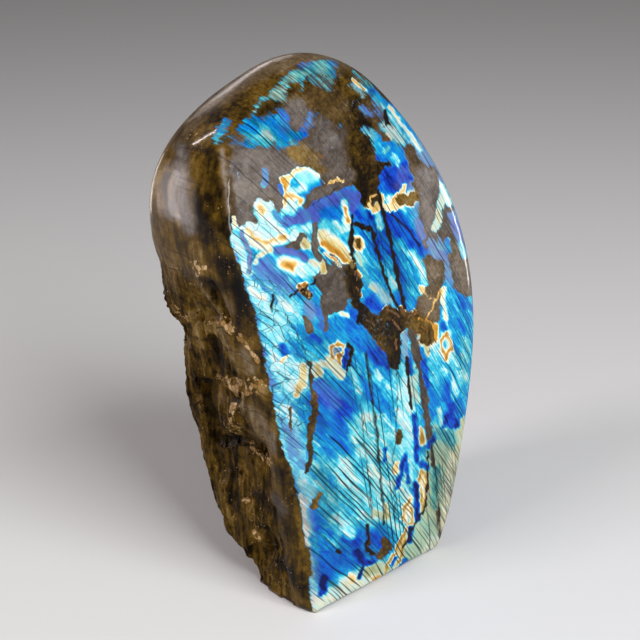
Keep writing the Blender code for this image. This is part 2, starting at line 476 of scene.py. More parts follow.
# %% The brush
def under_brush(spine, radius, softness):
    """How much of a stroke each point gets; the stroke runs along a line of picture places."""
    spine = np.array(spine, dtype=float)
    reach = radius + softness
    near = (
        (picture_x > spine[:, 0].min() - reach) & (picture_x < spine[:, 0].max() + reach)
        & (picture_y > spine[:, 1].min() - reach) & (picture_y < spine[:, 1].max() + reach)
    )
    chosen = np.flatnonzero(near & (reached > 0.0))
    place = np.stack([picture_x[chosen], picture_y[chosen]], axis=1)
    nearest = np.full(len(chosen), np.inf)
    ends = list(zip(spine, spine[1:])) or [(spine[0], spine[0])]
    for start, stop in ends:
        run = stop - start
        share = np.clip((place - start) @ run / max(run @ run, 1e-9), 0.0, 1.0)
        nearest = np.minimum(nearest, np.linalg.norm(place - start - share[:, None] * run, axis=1))
    return chosen, (1.0 - soft_step(radius - softness, radius + softness, nearest)) * reached[chosen]


print("points within reach of the brush:", int((reached > 0.0).sum()))

# %% [markdown]
# ## Forms of the broken side
#
# The ledges and lumps of the left side that catch the eye are pressed in or pushed out by strokes
# too. Under or over each ledge line the stone is set back at once and then comes out again slowly.
# Two vertex groups hold how far, and two Displace modifiers without a texture move the points.

# %% Ledges, hollows and lumps
DEEPEST_MM = 4.0
LEDGE_EDGE = 3.0
LEDGE_END = 6.0
LEDGE_FALL = 1.2
DENT_SOFTNESS = 0.6
FORMS_START = (0.1, 0.5)

LEDGES = {
    # name: line in the picture, towards the foot (1) or the crown (-1), length in pixels, depth in mm
    "specks": (((186, 262), (200, 267), (218, 262)), 1, 22, 0.7),
    "honey rim": (((186, 326), (206, 323), (222, 321), (236, 332), (248, 347), (262, 366)), -1, 40, 1.8),
    "crystal bed": (((190, 383), (215, 381), (240, 379), (264, 377)), 1, 26, 2.0),
    "low ledge": (((218, 449), (238, 447), (254, 451), (268, 460), (280, 468)), -1, 20, 2.4),
    "chip": (((238, 500), (252, 497), (266, 502)), 1, 18, 1.2),
    "left chip": (((168, 312), (180, 318), (192, 326)), 1, 34, 1.5),
    "foot chip": (((246, 548), (262, 545), (276, 552)), 1, 16, 1.0),
}
DENTS = {
    # name: spine in the picture, half width in pixels, depth in mm; a lump has a depth below nothing
    "hollow": (((211, 345), (213, 374)), 6, 1.6),
    "upper hollow": (((212, 286), (220, 300)), 5, 1.0),
    "sheen wedge": (((203, 288), (212, 306), (221, 322)), 4, -1.4),
    "dark gap": (((222, 443), (246, 450)), 4, 1.6),
    "gap by the ridge": (((268, 404), (276, 440)), 4, 1.2),
    "groove": (((204, 392), (216, 440)), 4, 1.4),
    "bulge": (((222, 330), (236, 356), (244, 376)), 8, -1.6),
    "grey lump": (((246, 404), (256, 418), (262, 430)), 10, -2.0),
    "blocks": (((231, 408), (232, 430)), 4.5, -1.6),
    "peach": (((254, 381), (260, 386)), 4, -1.8),
    "peach left": (((224, 386), (234, 392)), 4, -1.4),
    "low lump": (((262, 470), (270, 500)), 8, -1.0),
}


def beside_ledge(line, towards, length):
    """How much of a ledge's depth each point gets."""
    xs, ys = zip(*line)
    below = (picture_y - np.interp(picture_x, xs, ys)) * towards
    ends = soft_step(xs[0], xs[0] + LEDGE_END, picture_x)
    ends = ends * (1.0 - soft_step(xs[-1] - LEDGE_END, xs[-1], picture_x))
    falling_off = np.clip(1.0 - below / length, 0.0, 1.0) ** LEDGE_FALL
    return ends * soft_step(0.0, LEDGE_EDGE, below) * falling_off


pressed = np.zeros(len(points))
for line, towards, length, depth in LEDGES.values():
    pressed += depth * beside_ledge(line, towards, length) * reached
for spine, radius, depth in DENTS.values():
    chosen, amount = under_brush(spine, radius, DENT_SOFTNESS * radius)
    pressed[chosen] += depth * amount
pressed *= soft_step(*FORMS_START, broken)
vertex_group(stone, "pressed_in", np.clip(pressed / DEEPEST_MM, 0.0, 1.0))
vertex_group(stone, "pushed_out", np.clip(-pressed / DEEPEST_MM, 0.0, 1.0))
for group, side in (("pressed_in", -1), ("pushed_out", 1)):
    form = stone.modifiers.new(group, "DISPLACE")
    form.mid_level = 0.0
    form.strength = side * DEEPEST_MM * MM
    form.vertex_group = group
    apply(stone, form)
print("deepest dent and highest lump in mm:", round(pressed.max(), 1), round(-pressed.min(), 1))

# %% [markdown]
# ## Relief of the broken skin
#
# Feldspar splits along two planes, into long splinters with small steps across them. Each kind of
# relief is a Displace modifier with a texture: clouds for the splinters and the grit, cells for the
# chips. The texture is measured by an empty, and where the empty is drawn out along one direction,
# the clouds become splinters that run that way. A high midlevel lets the modifier press inwards
# nearly everywhere, so the stone keeps its real size.

# %% Relief
SPLINTER_LEAN = math.radians(14.0)
RELIEF_MIDLEVEL = 0.85
RELIEF = {
    # name: texture, cell in mm, how far it is drawn out upwards, depth in mm, lean, finer levels
    "splinters": ("CLOUDS", 2.2, 8.0, 1.9, SPLINTER_LEAN, 2),
    "chips": ("VORONOI", 4.6, 3.0, 1.3, SPLINTER_LEAN, 0),
    "grit": ("CLOUDS", 1.3, 2.0, 0.7, 0.0, 1),
}


def press_in(piece, name, kind, cell_mm, stretch, depth_mm, lean, finer_levels):
    """Presses one kind of relief into the broken skin."""
    ruler = bpy.data.objects.new(name + "_ruler", None)
    ruler.scale = (cell_mm * MM, cell_mm * MM, cell_mm * stretch * MM)
    ruler.rotation_euler = (0.0, -lean, 0.0)
    bpy.context.scene.collection.objects.link(ruler)
    bpy.context.view_layer.update()
    texture = bpy.data.textures.new(name, kind)
    texture.noise_scale = 1.0
    if kind == "CLOUDS":
        texture.noise_depth = finer_levels
    else:
        texture.color_mode = "POSITION"
    relief = piece.modifiers.new(name, "DISPLACE")
    relief.texture = texture
    relief.texture_coords = "OBJECT"
    relief.texture_coords_object = ruler
    relief.mid_level = RELIEF_MIDLEVEL
    relief.strength = depth_mm * MM
    relief.vertex_group = "broken_skin"
    apply(piece, relief)
    bpy.data.objects.remove(ruler)
    bpy.data.textures.remove(texture)


for name, kind in RELIEF.items():
    press_in(stone, name, *kind)
rough_points = points_and_normals(stone)[0]
print("lowest and highest place in mm:", rough_points.min(0).round(1), rough_points.max(0).round(1))

# %% [markdown]
# ## The marks, and a brush for each kind
#
# The colour of the flash depends on how thick the sheets are. One number, the phase, stands for it
# here, and a colour ramp turns it into navy, royal blue, azure, sky, ice, cream, gold and rust, in
# the order in which they follow each other on the stone. The plain stone between the flashes has a
# tone, from nearly black through brown and tan to a light taupe, and a warmth, from grey to brown.
# The other marks are shares from 0 to 1: plain stone, green and a milky veil in the flash, which
# along the front ridge is a painted highlight, dark veins, shade, pale crystals, upright lines, dense
# lines, crackle and flecks. Every mark starts with a value for the whole stone, and the strokes then
# change it where they run.

# %% Marks before the first stroke
NAVY, AZURE, SKY, ICE, GOLD = 0.05, 0.36, 0.40, 0.52, 0.74
BROWN, WARM_GREY, GREY = 1.0, 0.5, 0.0
OLIVE_TONE = 0.28
LINED_EVERYWHERE = 0.22
FRONT_FACING = (0.25, 0.6)

count = len(points)
added_later = ("green", "veil_and_sheen", "dark", "shade", "pale", "upright", "crackle", "flecked")
marks = {name: np.zeros(count) for name in added_later}
marks["phase"] = np.full(count, AZURE)
marks["plain"] = 1.0 - soft_step(*FRONT_FACING, -normals[:, 1])
marks["tone"] = np.full(count, OLIVE_TONE)
marks["warm"] = np.full(count, BROWN)
marks["lined"] = np.full(count, LINED_EVERYWHERE)
print("marks:", sorted(marks))

# %% [markdown]
# Each kind of mark has a brush of its own: one for flashing stone, one for plain stone, one for thin
# threads and one for soft washes. A wide stroke of the first two is softer at its edge than a thin
# one, unless the stroke says how soft it is.

# %% Brushes
FLASH_SOFTNESS = 0.8
PLAIN_SOFTNESS = 1.5
SOFTNESS_BY_RADIUS = 0.3
RIM_STRENGTH = 0.9
THREAD_BED = 1.7
THREAD_BED_STRENGTH = 3.0
THREAD_SOFTNESS = 1.0
VEIN_SOFTNESS = 1.2


def lay(mark, value, chosen, amount):
    """Brings one mark towards a value where the stroke covers it."""
    marks[mark][chosen] += (value - marks[mark][chosen]) * amount


def flash(spine, radius, phase, green=0.0, veil_and_sheen=0.0, softness=None, strength=1.0):
    """A stroke of flashing stone; a thin brush has a crisp edge, and a weak stroke is torn to rags."""
    softness = softness or FLASH_SOFTNESS + SOFTNESS_BY_RADIUS * radius
    chosen, amount = under_brush(spine, radius, softness)
    amount = amount * strength
    for mark, value in (("phase", phase), ("green", green), ("veil_and_sheen", veil_and_sheen), ("plain", 0.0)):
        lay(mark, value, chosen, amount)


def plain(spine, radius, warm, tone, rim=0.0, softness=None):
    """A stroke of plain stone; where it has a rim, the flash around it turns to gold."""
    softness = softness or PLAIN_SOFTNESS + SOFTNESS_BY_RADIUS * radius
    if rim > 0.0:
        chosen, amount = under_brush(spine, radius + rim, softness)
        lay("phase", GOLD, chosen, amount * RIM_STRENGTH)
    chosen, amount = under_brush(spine, radius, softness)
    for mark, value in (("warm", warm), ("tone", tone), ("plain", 1.0)):
        lay(mark, value, chosen, amount)


def thread(spine, radius, phase):
    """A thin line of flash through plain stone, with no pale seam beside it."""
    chosen, amount = under_brush(spine, radius + THREAD_BED, THREAD_BED)
    lay("phase", phase, chosen, np.minimum(THREAD_BED_STRENGTH * amount, 1.0))
    chosen, amount = under_brush(spine, radius, THREAD_SOFTNESS)
    lay("plain", 0.0, chosen, amount)


def wash(mark, strokes, softness):
    """Soft strokes that raise one mark; each has a spine, a half width and a strength."""
    for spine, radius, strength in strokes.values():
        chosen, amount = under_brush(spine, radius, softness)
        marks[mark][chosen] = np.maximum(marks[mark][chosen], amount * strength)


print("brushes are ready for", count, "points")

# %% [markdown]
# ## Broad fields of colour
#
# First come the broad soft fields, as a painter would lay them in: ice white along the front ridge,
# sky blue in the middle, deep blue where the sheets are thinner, and a pale gold-green at the foot
# and along the lower right. Each stroke has a name, the places that it runs through in the picture,
# its half width and its phase. Where one more number follows it is the share of green, and after
# that the share of the milky veil that lies over the flash in places. Along the front ridge that veil
# is a painted highlight, the pale band where the rounded ridge catches the light.

# %% Broad fields
FIELD_SOFTNESS = 8.0

FIELDS = {
    "ridge": ([(232, 240), (247, 290), (262, 330), (275, 380)], 14, ICE),
    "ridge low": ([(276, 385), (284, 410), (298, 470)], 11, 0.46, 0.0, 0.2),
    "upper ice": ([(252, 205), (268, 225), (290, 235)], 22, ICE),
    "middle ice": ([(268, 290), (283, 320), (290, 350), (292, 376)], 20, 0.525, 0.0, 0.12),
    "upper sky": ([(325, 225), (330, 260)], 16, 0.42),
    "upper royal": ([(292, 216), (312, 208), (345, 203)], 13, 0.18, 0.0, 0.2),
    "left blue": ([(262, 268), (285, 286)], 10, 0.36, 0.0, 0.3),
    "middle sky": ([(310, 340), (330, 360)], 22, SKY),
    "middle azure": ([(330, 330), (365, 325)], 12, 0.3),
    "fan": ([(385, 225), (400, 260), (415, 290)], 22, 0.27),
    "fan ice": ([(412, 262), (420, 288)], 10, 0.46),
    "fan left": ([(370, 255), (385, 290)], 12, 0.38),
    "notch royal": ([(386, 182), (400, 176)], 12, 0.12),
    "royal by the burst": ([(368, 300), (382, 306)], 5, 0.16),
    "lower sky": ([(345, 375), (385, 400), (395, 430)], 26, 0.355),
    "lower royal": ([(375, 352), (384, 366)], 8, 0.16),
    "white column": ([(402, 372), (407, 420), (407, 475)], 12, 0.52),
    "left azure": ([(322, 405), (342, 445)], 16, 0.27),
    "middle royal": ([(342, 405), (358, 428)], 9, 0.18),
    "lower ice": ([(368, 430), (384, 468), (396, 512)], 21, 0.50, 0.25),
    "teal": ([(322, 465), (332, 500), (340, 530)], 16, 0.40, 0.25),
    "ice by the teal": ([(344, 470), (360, 495), (376, 518)], 15, 0.51, 0.15),
    "ridge royal": ([(306, 515), (312, 545), (318, 568)], 13, 0.2),
    "foot royal": ([(330, 562), (362, 549), (380, 536)], 12, 0.26),
    "foot cream": ([(318, 607), (340, 595), (372, 578)], 14, 0.585, 0.3),
    "foot cream right": ([(385, 572), (405, 560)], 8, 0.6, 0.7),
    "right pale green": ([(448, 440), (440, 490), (430, 540), (418, 560)], 20, 0.58, 0.8),
    "right sky": ([(458, 285), (462, 330), (460, 380), (452, 415)], 15, 0.36),
    "right ice": ([(438, 350), (442, 385)], 9, 0.48),
    "right royal": ([(448, 385), (452, 415)], 5, 0.22),
    "haze": ([(422, 160), (434, 200), (446, 235), (458, 262)], 22, 0.36, 0.1, 0.5),
    # painted highlight: ridge haze and ridge haze low paint the pale band along the rounded front ridge
    "ridge haze": ([(293, 425), (301, 470), (306, 500)], 3.5, 0.34, 0.0, 0.5),
    "ridge haze low": ([(306, 500), (310, 550), (314, 600)], 2, 0.6, 0.0, 0.7),
    "ridge violet": ([(234, 245), (246, 295), (260, 345), (272, 385)], 2, 0.22, 0.0, 0.4),
}
for stroke in FIELDS.values():
    flash(*stroke, softness=FIELD_SOFTNESS)
print("fields:", len(FIELDS))

# %% [markdown]
# ## Plain stone between the flashes
#
# Where the sheets are the wrong thickness, or another feldspar grew, the stone stays brown or grey
# from every side. Each patch has its places, its half width, its warmth and its tone. A fifth number
# is the width of a gold rim: towards such a patch the sheets grow thicker, and the colour of the
# flash runs through its whole row.

# %% Plain patches
PLAIN_PATCHES = {
    "crown": ([(190, 120), (230, 92), (290, 74), (340, 70), (362, 92)], 34, 0.92, 0.29),
    "crown back edge": ([(175, 140), (200, 112), (250, 76), (300, 56), (345, 62)], 9, 0.4, 0.47),
    "below the crown": ([(240, 155), (290, 160), (340, 150), (360, 165)], 20, GREY, 0.49),
    "taupe field": ([(236, 168), (262, 162), (285, 166)], 16, GREY, 0.60),
    "taupe field low": ([(234, 190), (252, 192), (268, 186)], 16, GREY, 0.64),
    "taupe foot": ([(236, 210), (246, 220)], 11, GREY, 0.60),
    "round grey": ([(297, 111), (300, 118)], 15, GREY, 0.58),
    "grey strip": ([(322, 128), (330, 150), (325, 168)], 14, GREY, 0.54),
    "tan field": ([(298, 150), (312, 160), (322, 166)], 9, 0.8, 0.54),
    "tan cloud": ([(292, 150), (300, 158)], 6, BROWN, 0.60),
    "grey by the tan": ([(330, 160), (345, 165)], 10, GREY, 0.50),
    "tan cloud right": ([(347, 128), (350, 140)], 6, GREY, 0.49),
    "speckled brown": ([(318, 98), (335, 105), (345, 112)], 13, 0.6, 0.38),
    "brown column": ([(362, 112), (360, 140), (362, 172)], 13, BROWN, 0.20),
    "brown column low": ([(362, 172), (368, 196)], 11, BROWN, 0.14),
    "notch brown": ([(383, 166), (378, 180)], 8, BROWN, 0.16),
    "rim shade": ([(370, 106), (382, 124), (394, 140)], 9, 0.5, 0.37),
    "rim shade low": ([(408, 152), (416, 168), (421, 182)], 8, 0.3, 0.47),
    "haze stone": ([(427, 178), (432, 215), (426, 238)], 12, GREY, 0.65),
    "haze stone edge": ([(440, 195), (449, 230), (458, 262), (463, 285)], 9, GREY, 0.58),
    "haze stone low": ([(432, 268), (430, 296), (428, 312)], 13, 0.35, 0.54),
    "haze brown": ([(452, 240), (462, 270), (466, 292)], 6, 0.25, 0.56),
    "grey diamond top": ([(334, 256), (346, 268)], 6, GREY, 0.54),
    "grey diamond": ([(328, 278), (338, 290), (333, 303)], 14, GREY, 0.51),
    "diamond tail": ([(326, 312), (325, 326)], 5, GREY, 0.50),
    "grey tongue": ([(307, 319), (310, 329)], 4.2, 0.3, 0.53),
    "small grey bay": ([(288, 250), (298, 245), (304, 238)], 5.5, GREY, 0.54),
    "grey vein": ([(317, 214), (315, 232), (315, 250), (322, 262)], 4, GREY, 0.56),
    "grey vein left": ([(275, 178), (280, 195), (280, 208)], 6, GREY, 0.59),
    "sliver": ([(303, 206), (320, 194), (338, 184), (350, 176)], 7, GREY, 0.53),
    "dark column": ([(352, 224), (351, 245), (353, 262)], 2.6, BROWN, 0.10),
    "dark knot": ([(358, 224), (368, 229)], 3, BROWN, 0.10),
    "dark column low": ([(353, 272), (358, 295), (362, 318)], 8, BROWN, 0.13),
    "burst": ([(388, 314), (400, 320), (412, 320)], 9, BROWN, 0.22),
    "burst arm": ([(372, 322), (380, 333), (386, 342)], 9, BROWN, 0.20),
    "burst foot": ([(395, 330), (394, 348), (394, 362)], 8, BROWN, 0.14),
    "burst right": ([(418, 324), (428, 330), (427, 338)], 8, BROWN, 0.40, 1.5),
    "pit stone": ([(301, 289), (309, 295)], 4, BROWN, 0.30),
    "wedge": ([(411, 333), (417, 355), (421, 375)], 4, GREY, 0.48),
    "long vein top": ([(420, 375), (425, 400), (428, 425), (430, 440)], 3.4, GREY, 0.47),
    "long vein": ([(431, 445), (435, 480), (438, 510), (440, 540)], 1.8, GREY, 0.40),
    "left streak top": ([(306, 338), (310, 360), (312, 378)], 2.0, BROWN, 0.30),
    "left streak": ([(312, 378), (314, 400), (315, 414), (310, 436)], 3.9, 0.7, 0.33),
    "left streak low": ([(309, 442), (311, 456), (306, 472)], 2.6, 0.6, 0.31),
    "left edge streak": ([(291, 408), (290, 425), (290, 442)], 1.8, 0.3, 0.50),
    "oval": ([(318, 494), (314, 506)], 4, BROWN, 0.36),
    "foot dark": ([(367, 549), (374, 554)], 2.2, BROWN, 0.16),
    "foot dark streak": ([(368, 534), (369, 546)], 1.2, BROWN, 0.22),
    "foot brown": ([(384, 540), (387, 548), (381, 556)], 4.4, 0.8, 0.41),
    "right grain": ([(462, 258), (465, 286)], 5, 0.25, 0.58),
    "dark spike": ([(350, 343), (349, 355), (345, 372)], 4.5, BROWN, 0.13),
    "dash": ([(400, 432), (398, 442)], 3, BROWN, 0.30),
}
for stroke in PLAIN_PATCHES.values():
    plain(*stroke)
print("plain patches:", len(PLAIN_PATCHES))

# %% [markdown]
# ## The left side
#
# The left side doesn't flash at all. Its upper half is glassy, olive brown with dark depths. Lower
# down it is broken and honey coloured where light comes through thin splinters. Its hollows and gaps,
# and its left edge, are painted dark as shade, nearly black under the ledges. Pale strokes down the
# rounded shoulder, along the front ridge, on the sheen wedge and along the bulge are painted highlights.

# %% Left side
LEFT_SOFTNESS = 5.0
LEFT_SIDE = {
    "glassy olive": ([(205, 150), (206, 200), (215, 250)], 16, BROWN, 0.25),
    "olive gold": ([(203, 160), (200, 178), (205, 190)], 6, BROWN, 0.38),
    "olive green": ([(226, 150), (222, 170)], 5, BROWN, 0.33),
    "dark depth": ([(224, 180), (228, 215), (226, 235)], 6, BROWN, 0.10),
    "dark depth left": ([(200, 215), (208, 240)], 5, BROWN, 0.14),
    "honey depth": ([(221, 238), (229, 252)], 6, BROWN, 0.37),
    # painted highlight: shoulder, shoulder light and shoulder rim are the pale band where the rounded
    # shoulder catches the light
    "shoulder": ([(182, 150), (180, 190), (187, 228)], 8, GREY, 0.56),
    "shoulder light": ([(181, 150), (181, 185), (186, 212), (193, 232)], 4, GREY, 0.66),
    "shoulder left": ([(164, 150), (156, 178), (157, 195)], 6, BROWN, 0.50),
    "shoulder rim": ([(176, 122), (164, 142), (155, 170), (152, 200)], 2.5, 0.3, 0.70),
    # painted highlight: a pale line where the front ridge catches the light
    "ridge light": ([(222, 152), (225, 185), (229, 212)], 2.5, GREY, 0.72),
    "silk": ([(154, 205), (162, 255), (174, 300)], 8, 0.7, 0.42),
    "silk brown": ([(172, 230), (182, 265), (192, 300)], 8, BROWN, 0.36),
    "warm grain": ([(195, 245), (203, 270)], 7, BROWN, 0.42),
    # painted shade: darker in the hollow above the honey rim ledge
    "dark above the ledge": ([(222, 262), (236, 285), (246, 312)], 9, BROWN, 0.16),
    "olive under the ridge": ([(244, 300), (252, 330), (258, 352)], 6, BROWN, 0.22),
    # painted shade: nearly black in the upper hollow
    "hollow": ([(208, 283), (214, 300)], 4, BROWN, 0.10),
    # painted sheen: a light streak down the wedge
    "sheen wedge": ([(203, 288), (212, 306), (221, 326)], 3, WARM_GREY, 0.60),
    "grey in the hollow": ([(224, 300), (231, 310)], 5, WARM_GREY, 0.48),
    "upper honey band": ([(188, 316), (194, 330), (198, 348)], 6, BROWN, 0.56),
    "dome": ([(208, 330), (222, 332)], 7, BROWN, 0.50),
    "bulge": ([(226, 340), (236, 360), (243, 380)], 10, BROWN, 0.31),
    "honey by the ledge": ([(206, 336), (214, 334)], 3.5, BROWN, 0.60),
    # painted highlight: a light line along the bulge
    "bulge light": ([(222, 328), (230, 348), (240, 374)], 2.4, WARM_GREY, 0.60),
    "bulge grey": ([(244, 352), (252, 370)], 6, WARM_GREY, 0.48),
    # painted shade: nearly black in the hollow
    "dark hollow": ([(212, 346), (214, 374)], 7, BROWN, 0.12),
    "crystal bed": ([(222, 386), (245, 388), (262, 390)], 7, BROWN, 0.42),
    "left of the bed": ([(196, 384), (208, 412), (216, 440)], 7, BROWN, 0.18),
    "left edge": ([(176, 335), (188, 392), (206, 450), (226, 525)], 6, BROWN, 0.36),
    # painted shade: darker along the left edge, which turns away from the light
    "left edge dark": ([(170, 320), (180, 370), (196, 430)], 3, BROWN, 0.16),
    "grey lump": ([(244, 408), (254, 416), (262, 428)], 10, WARM_GREY, 0.51),
    "grey lump foot": ([(250, 436), (256, 444)], 5, WARM_GREY, 0.48),
    "blue grey chip": ([(271, 436), (274, 450)], 3, GREY, 0.52),
    "brown left of the lump": ([(232, 398), (238, 440)], 6, BROWN, 0.33),
    # painted shade: nearly black in the gap above the low ledge
    "black gap": ([(222, 444), (244, 446)], 4, BROWN, 0.12),
    "lower brown": ([(244, 462), (262, 500), (276, 545)], 16, BROWN, 0.27),
    "lower olive": ([(282, 470), (294, 520), (300, 570)], 9, BROWN, 0.24),
    "lower honey": ([(232, 482), (246, 510), (256, 540)], 5, BROWN, 0.39),
    "mauve haze": ([(274, 496), (284, 512)], 5, GREY, 0.46),
    # painted shade: nearly black in the gap below the chip
    "dark gap": ([(258, 496), (266, 512)], 5, BROWN, 0.08),
    "dark spots": ([(278, 562), (290, 572)], 5, BROWN, 0.10),
    "foot": ([(272, 585), (296, 600)], 10, BROWN, 0.35),
    "low ridge": ([(300, 500), (304, 530), (308, 575)], 4, BROWN, 0.34),
}
for stroke in LEFT_SIDE.values():
    plain(*stroke, softness=LEFT_SOFTNESS)
print("strokes on the left side:", len(LEFT_SIDE))

# %% [markdown]
# ## Flashes on the crown and down its right rim
#
# The crown is mostly plain, with torn rags of green and blue in it. They are laid on at less than
# full strength, so that the noise of the material tears them. Down the right rim the sheets are cut
# at a low angle, and the colours follow each other quickly, from green through blue to cream. Three
# thin lines along the rim come last, at full strength.

# %% Crown flashes
CROWN_SOFTNESS = 4.5
TORN = 0.62
CROWN_FLASHES = {
    "teal back": ([(298, 76), (312, 68), (326, 67)], 6, 0.58, 0.95),
    "cyan back": ([(318, 66), (332, 73)], 6, 0.45, 0.5),
    "blue wisp": ([(300, 65), (310, 63)], 3, 0.18, 0.0, 0.4),
    "blue wisp right": ([(330, 61), (336, 64)], 3, 0.25, 0.0, 0.3),
    "teal root": ([(303, 74), (301, 90)], 2.5, 0.5, 0.8),
    "dim teal": ([(316, 80), (328, 84)], 7, 0.5, 1.0, 0.35),
    "pale green": ([(292, 76), (283, 86), (276, 94)], 6, 0.63, 0.85),
    "pale green low": ([(275, 96), (283, 99)], 5, 0.6, 0.85),
    "wisp": ([(268, 98), (260, 101), (254, 111)], 3.2, 0.61, 0.85),
    "cyan": ([(250, 124), (252, 142)], 8, 0.37),
    "cyan right": ([(256, 138), (264, 143)], 5, 0.5),
    "cyan left": ([(232, 144), (243, 143)], 3, 0.3),
    "pale join": ([(266, 134), (268, 143)], 5, 0.56, 0.6),
    "azure": ([(277, 124), (281, 142)], 7, 0.33),
    "royal top": ([(283, 113), (286, 128)], 5, 0.2, 0.0, 0.2),
    "sky foot": ([(280, 144), (297, 144)], 3, 0.47),
    "azure right": ([(304, 127), (300, 137)], 4, 0.27),
    "dim right": ([(309, 114), (311, 125)], 3, 0.3, 0.0, 0.5),
    "shoulder teal": ([(216, 139), (222, 130), (226, 124)], 6, 0.36, 0.4),
    "rim green": ([(354, 72), (362, 80), (369, 87)], 3.2, 0.58, 0.9),
    "rim dim": ([(352, 84), (362, 94)], 4, 0.6, 0.2, 0.6),
    "rim blue": ([(371, 91), (377, 97)], 4, 0.2),
    "rim white": ([(377, 97), (386, 108), (398, 122)], 3.8, ICE),
    "rim blue low": ([(384, 101), (391, 110)], 2.6, 0.28),
    "rim haze": ([(374, 104), (382, 116)], 3.5, 0.34, 0.3, 0.6),
    "rim tan": ([(384, 126), (398, 138)], 6, 0.64, 0.3, 0.35),
    "rim pale": ([(391, 132), (402, 143)], 3, 0.6, 0.5),
    "dim blue": ([(362, 108), (370, 114)], 4, 0.2, 0.0, 0.45),
    "dim green": ([(364, 128), (372, 136)], 4, 0.5, 0.7, 0.3),
}
RIM_SOFTNESS = 1.5
RIM_LINES = {
    "gold": ([(352, 79), (366, 91)], 1.3, GOLD),
    "light gold": ([(389, 107), (399, 119)], 1.6, 0.66),
    "cream": ([(398, 121), (411, 135), (420, 150)], 2.2, 0.59),
}
for stroke in CROWN_FLASHES.values():
    flash(*stroke, softness=CROWN_SOFTNESS, strength=TORN)
for stroke in RIM_LINES.values():
    flash(*stroke, softness=RIM_SOFTNESS)
print("crown flashes:", len(CROWN_FLASHES) + len(RIM_LINES))

# %% [markdown]
# ## Right half of the upper face
#
# This is the liveliest part of the stone. A deep blue notch cuts into the brown column, and below it
# long blue lobes open downwards like a fan. Three small plain cores with gold rims go over them.

# %% Upper right
UPPER_RIGHT = {
    "hook": ([(381, 151), (390, 146), (399, 153), (404, 164)], 5, 0.3),
    "hook pale": ([(384, 151), (389, 148)], 2.5, 0.47, 0.5),
    "hook dark": ([(379, 157), (384, 160)], 3, 0.18),
    "hook white": ([(394, 156), (403, 169)], 2.6, 0.5),
    "hook royal": ([(404, 165), (409, 178)], 4, 0.15),
    "notch": ([(389, 176), (393, 189)], 9, 0.1),
    "notch right": ([(403, 172), (401, 186)], 6, 0.16, 0.0, 0.15),
    "notch edge": ([(381, 186), (388, 196), (395, 195)], 3, 0.3),
    "under the notch": ([(388, 200), (394, 208), (402, 212)], 5, 0.5),
    "arc": ([(404, 185), (402, 192), (394, 198), (391, 204)], 2.2, 0.7),
    "small royal": ([(358, 213), (365, 223)], 3.5, 0.17),
    "small royal left": ([(355, 196), (352, 206)], 5, 0.15, 0.0, 0.2),
    "small royal right": ([(369, 211), (371, 217)], 3, 0.1),
    "right lobe top": ([(393, 216), (405, 236), (415, 250)], 10, 0.18),
    "right lobe": ([(400, 246), (410, 264), (417, 288)], 8, 0.38),
    "right lobe ice": ([(412, 252), (422, 268), (424, 284)], 4, 0.5),
    "right lobe low": ([(407, 294), (411, 305)], 4, 0.34),
    "middle lobe": ([(380, 226), (388, 250), (397, 280), (402, 300)], 6, 0.22),
    "middle lobe low": ([(388, 258), (396, 285)], 5, 0.38),
    "left lobe": ([(366, 245), (373, 265), (382, 290)], 6, 0.35),
    "left lobe top": ([(376, 212), (380, 226)], 4, 0.5, 0.0),
    "left lobe edge": ([(375, 242), (380, 258)], 3, 0.14),
    "pale green edge": ([(358, 255), (362, 266)], 2.4, 0.58, 0.7),
    "teal edge": ([(362, 268), (368, 282)], 4, 0.40, 0.4),
    "gold flecks": ([(358, 271), (360, 276)], 1.2, 0.84),
    "cyan drop": ([(366, 290), (364, 300)], 4, 0.36),
    "milky drop": ([(374, 286), (382, 294), (388, 301)], 4, 0.52, 0.3, 0.5),
    "royal drop": ([(368, 302), (379, 307)], 4, 0.17),
    "haze blue": ([(418, 222), (422, 236)], 4, 0.26, 0.0, 0.5),
    "haze blue low": ([(431, 242), (437, 256)], 4, 0.32, 0.0, 0.6),
    "haze streak": ([(444, 190), (441, 206), (436, 228)], 4, 0.6, 0.4),
    "haze streak top": ([(442, 186), (449, 203)], 3.5, 0.57, 0.1),
    "edge lilac": ([(452, 215), (460, 240)], 4, 0.3, 0.0, 0.45),
    "edge sky": ([(460, 244), (464, 256)], 3, 0.48, 0.0, 0.2),
    "edge small blue": ([(447, 240), (449, 252)], 3, 0.34, 0.0, 0.1),
    "right cream": ([(444, 289), (443, 300), (445, 312), (446, 322)], 2.4, 0.63),
}
PLAIN_CORES = {
    "bean": ([(401, 200), (410, 200), (414, 196)], 5, BROWN, 0.50, 2.0),
    "ring core": ([(358, 241), (359, 246)], 2.6, BROWN, 0.30, 3.0),
    "small core": ([(368, 201), (367, 205)], 1.2, BROWN, 0.42, 2.5),
}
for stroke in UPPER_RIGHT.values():
    flash(*stroke)
for stroke in PLAIN_CORES.values():
    plain(*stroke)
print("upper right flashes:", len(UPPER_RIGHT), "and cores:", len(PLAIN_CORES))

# %% [markdown]
# ## Left half of the upper face
#
# Small fields of white stand in the grey, each edged with gold, with royal blue and violet between
# them. Often a wider gold stroke is laid on first and its white heart over it, so that the gold is
# left as an edge.

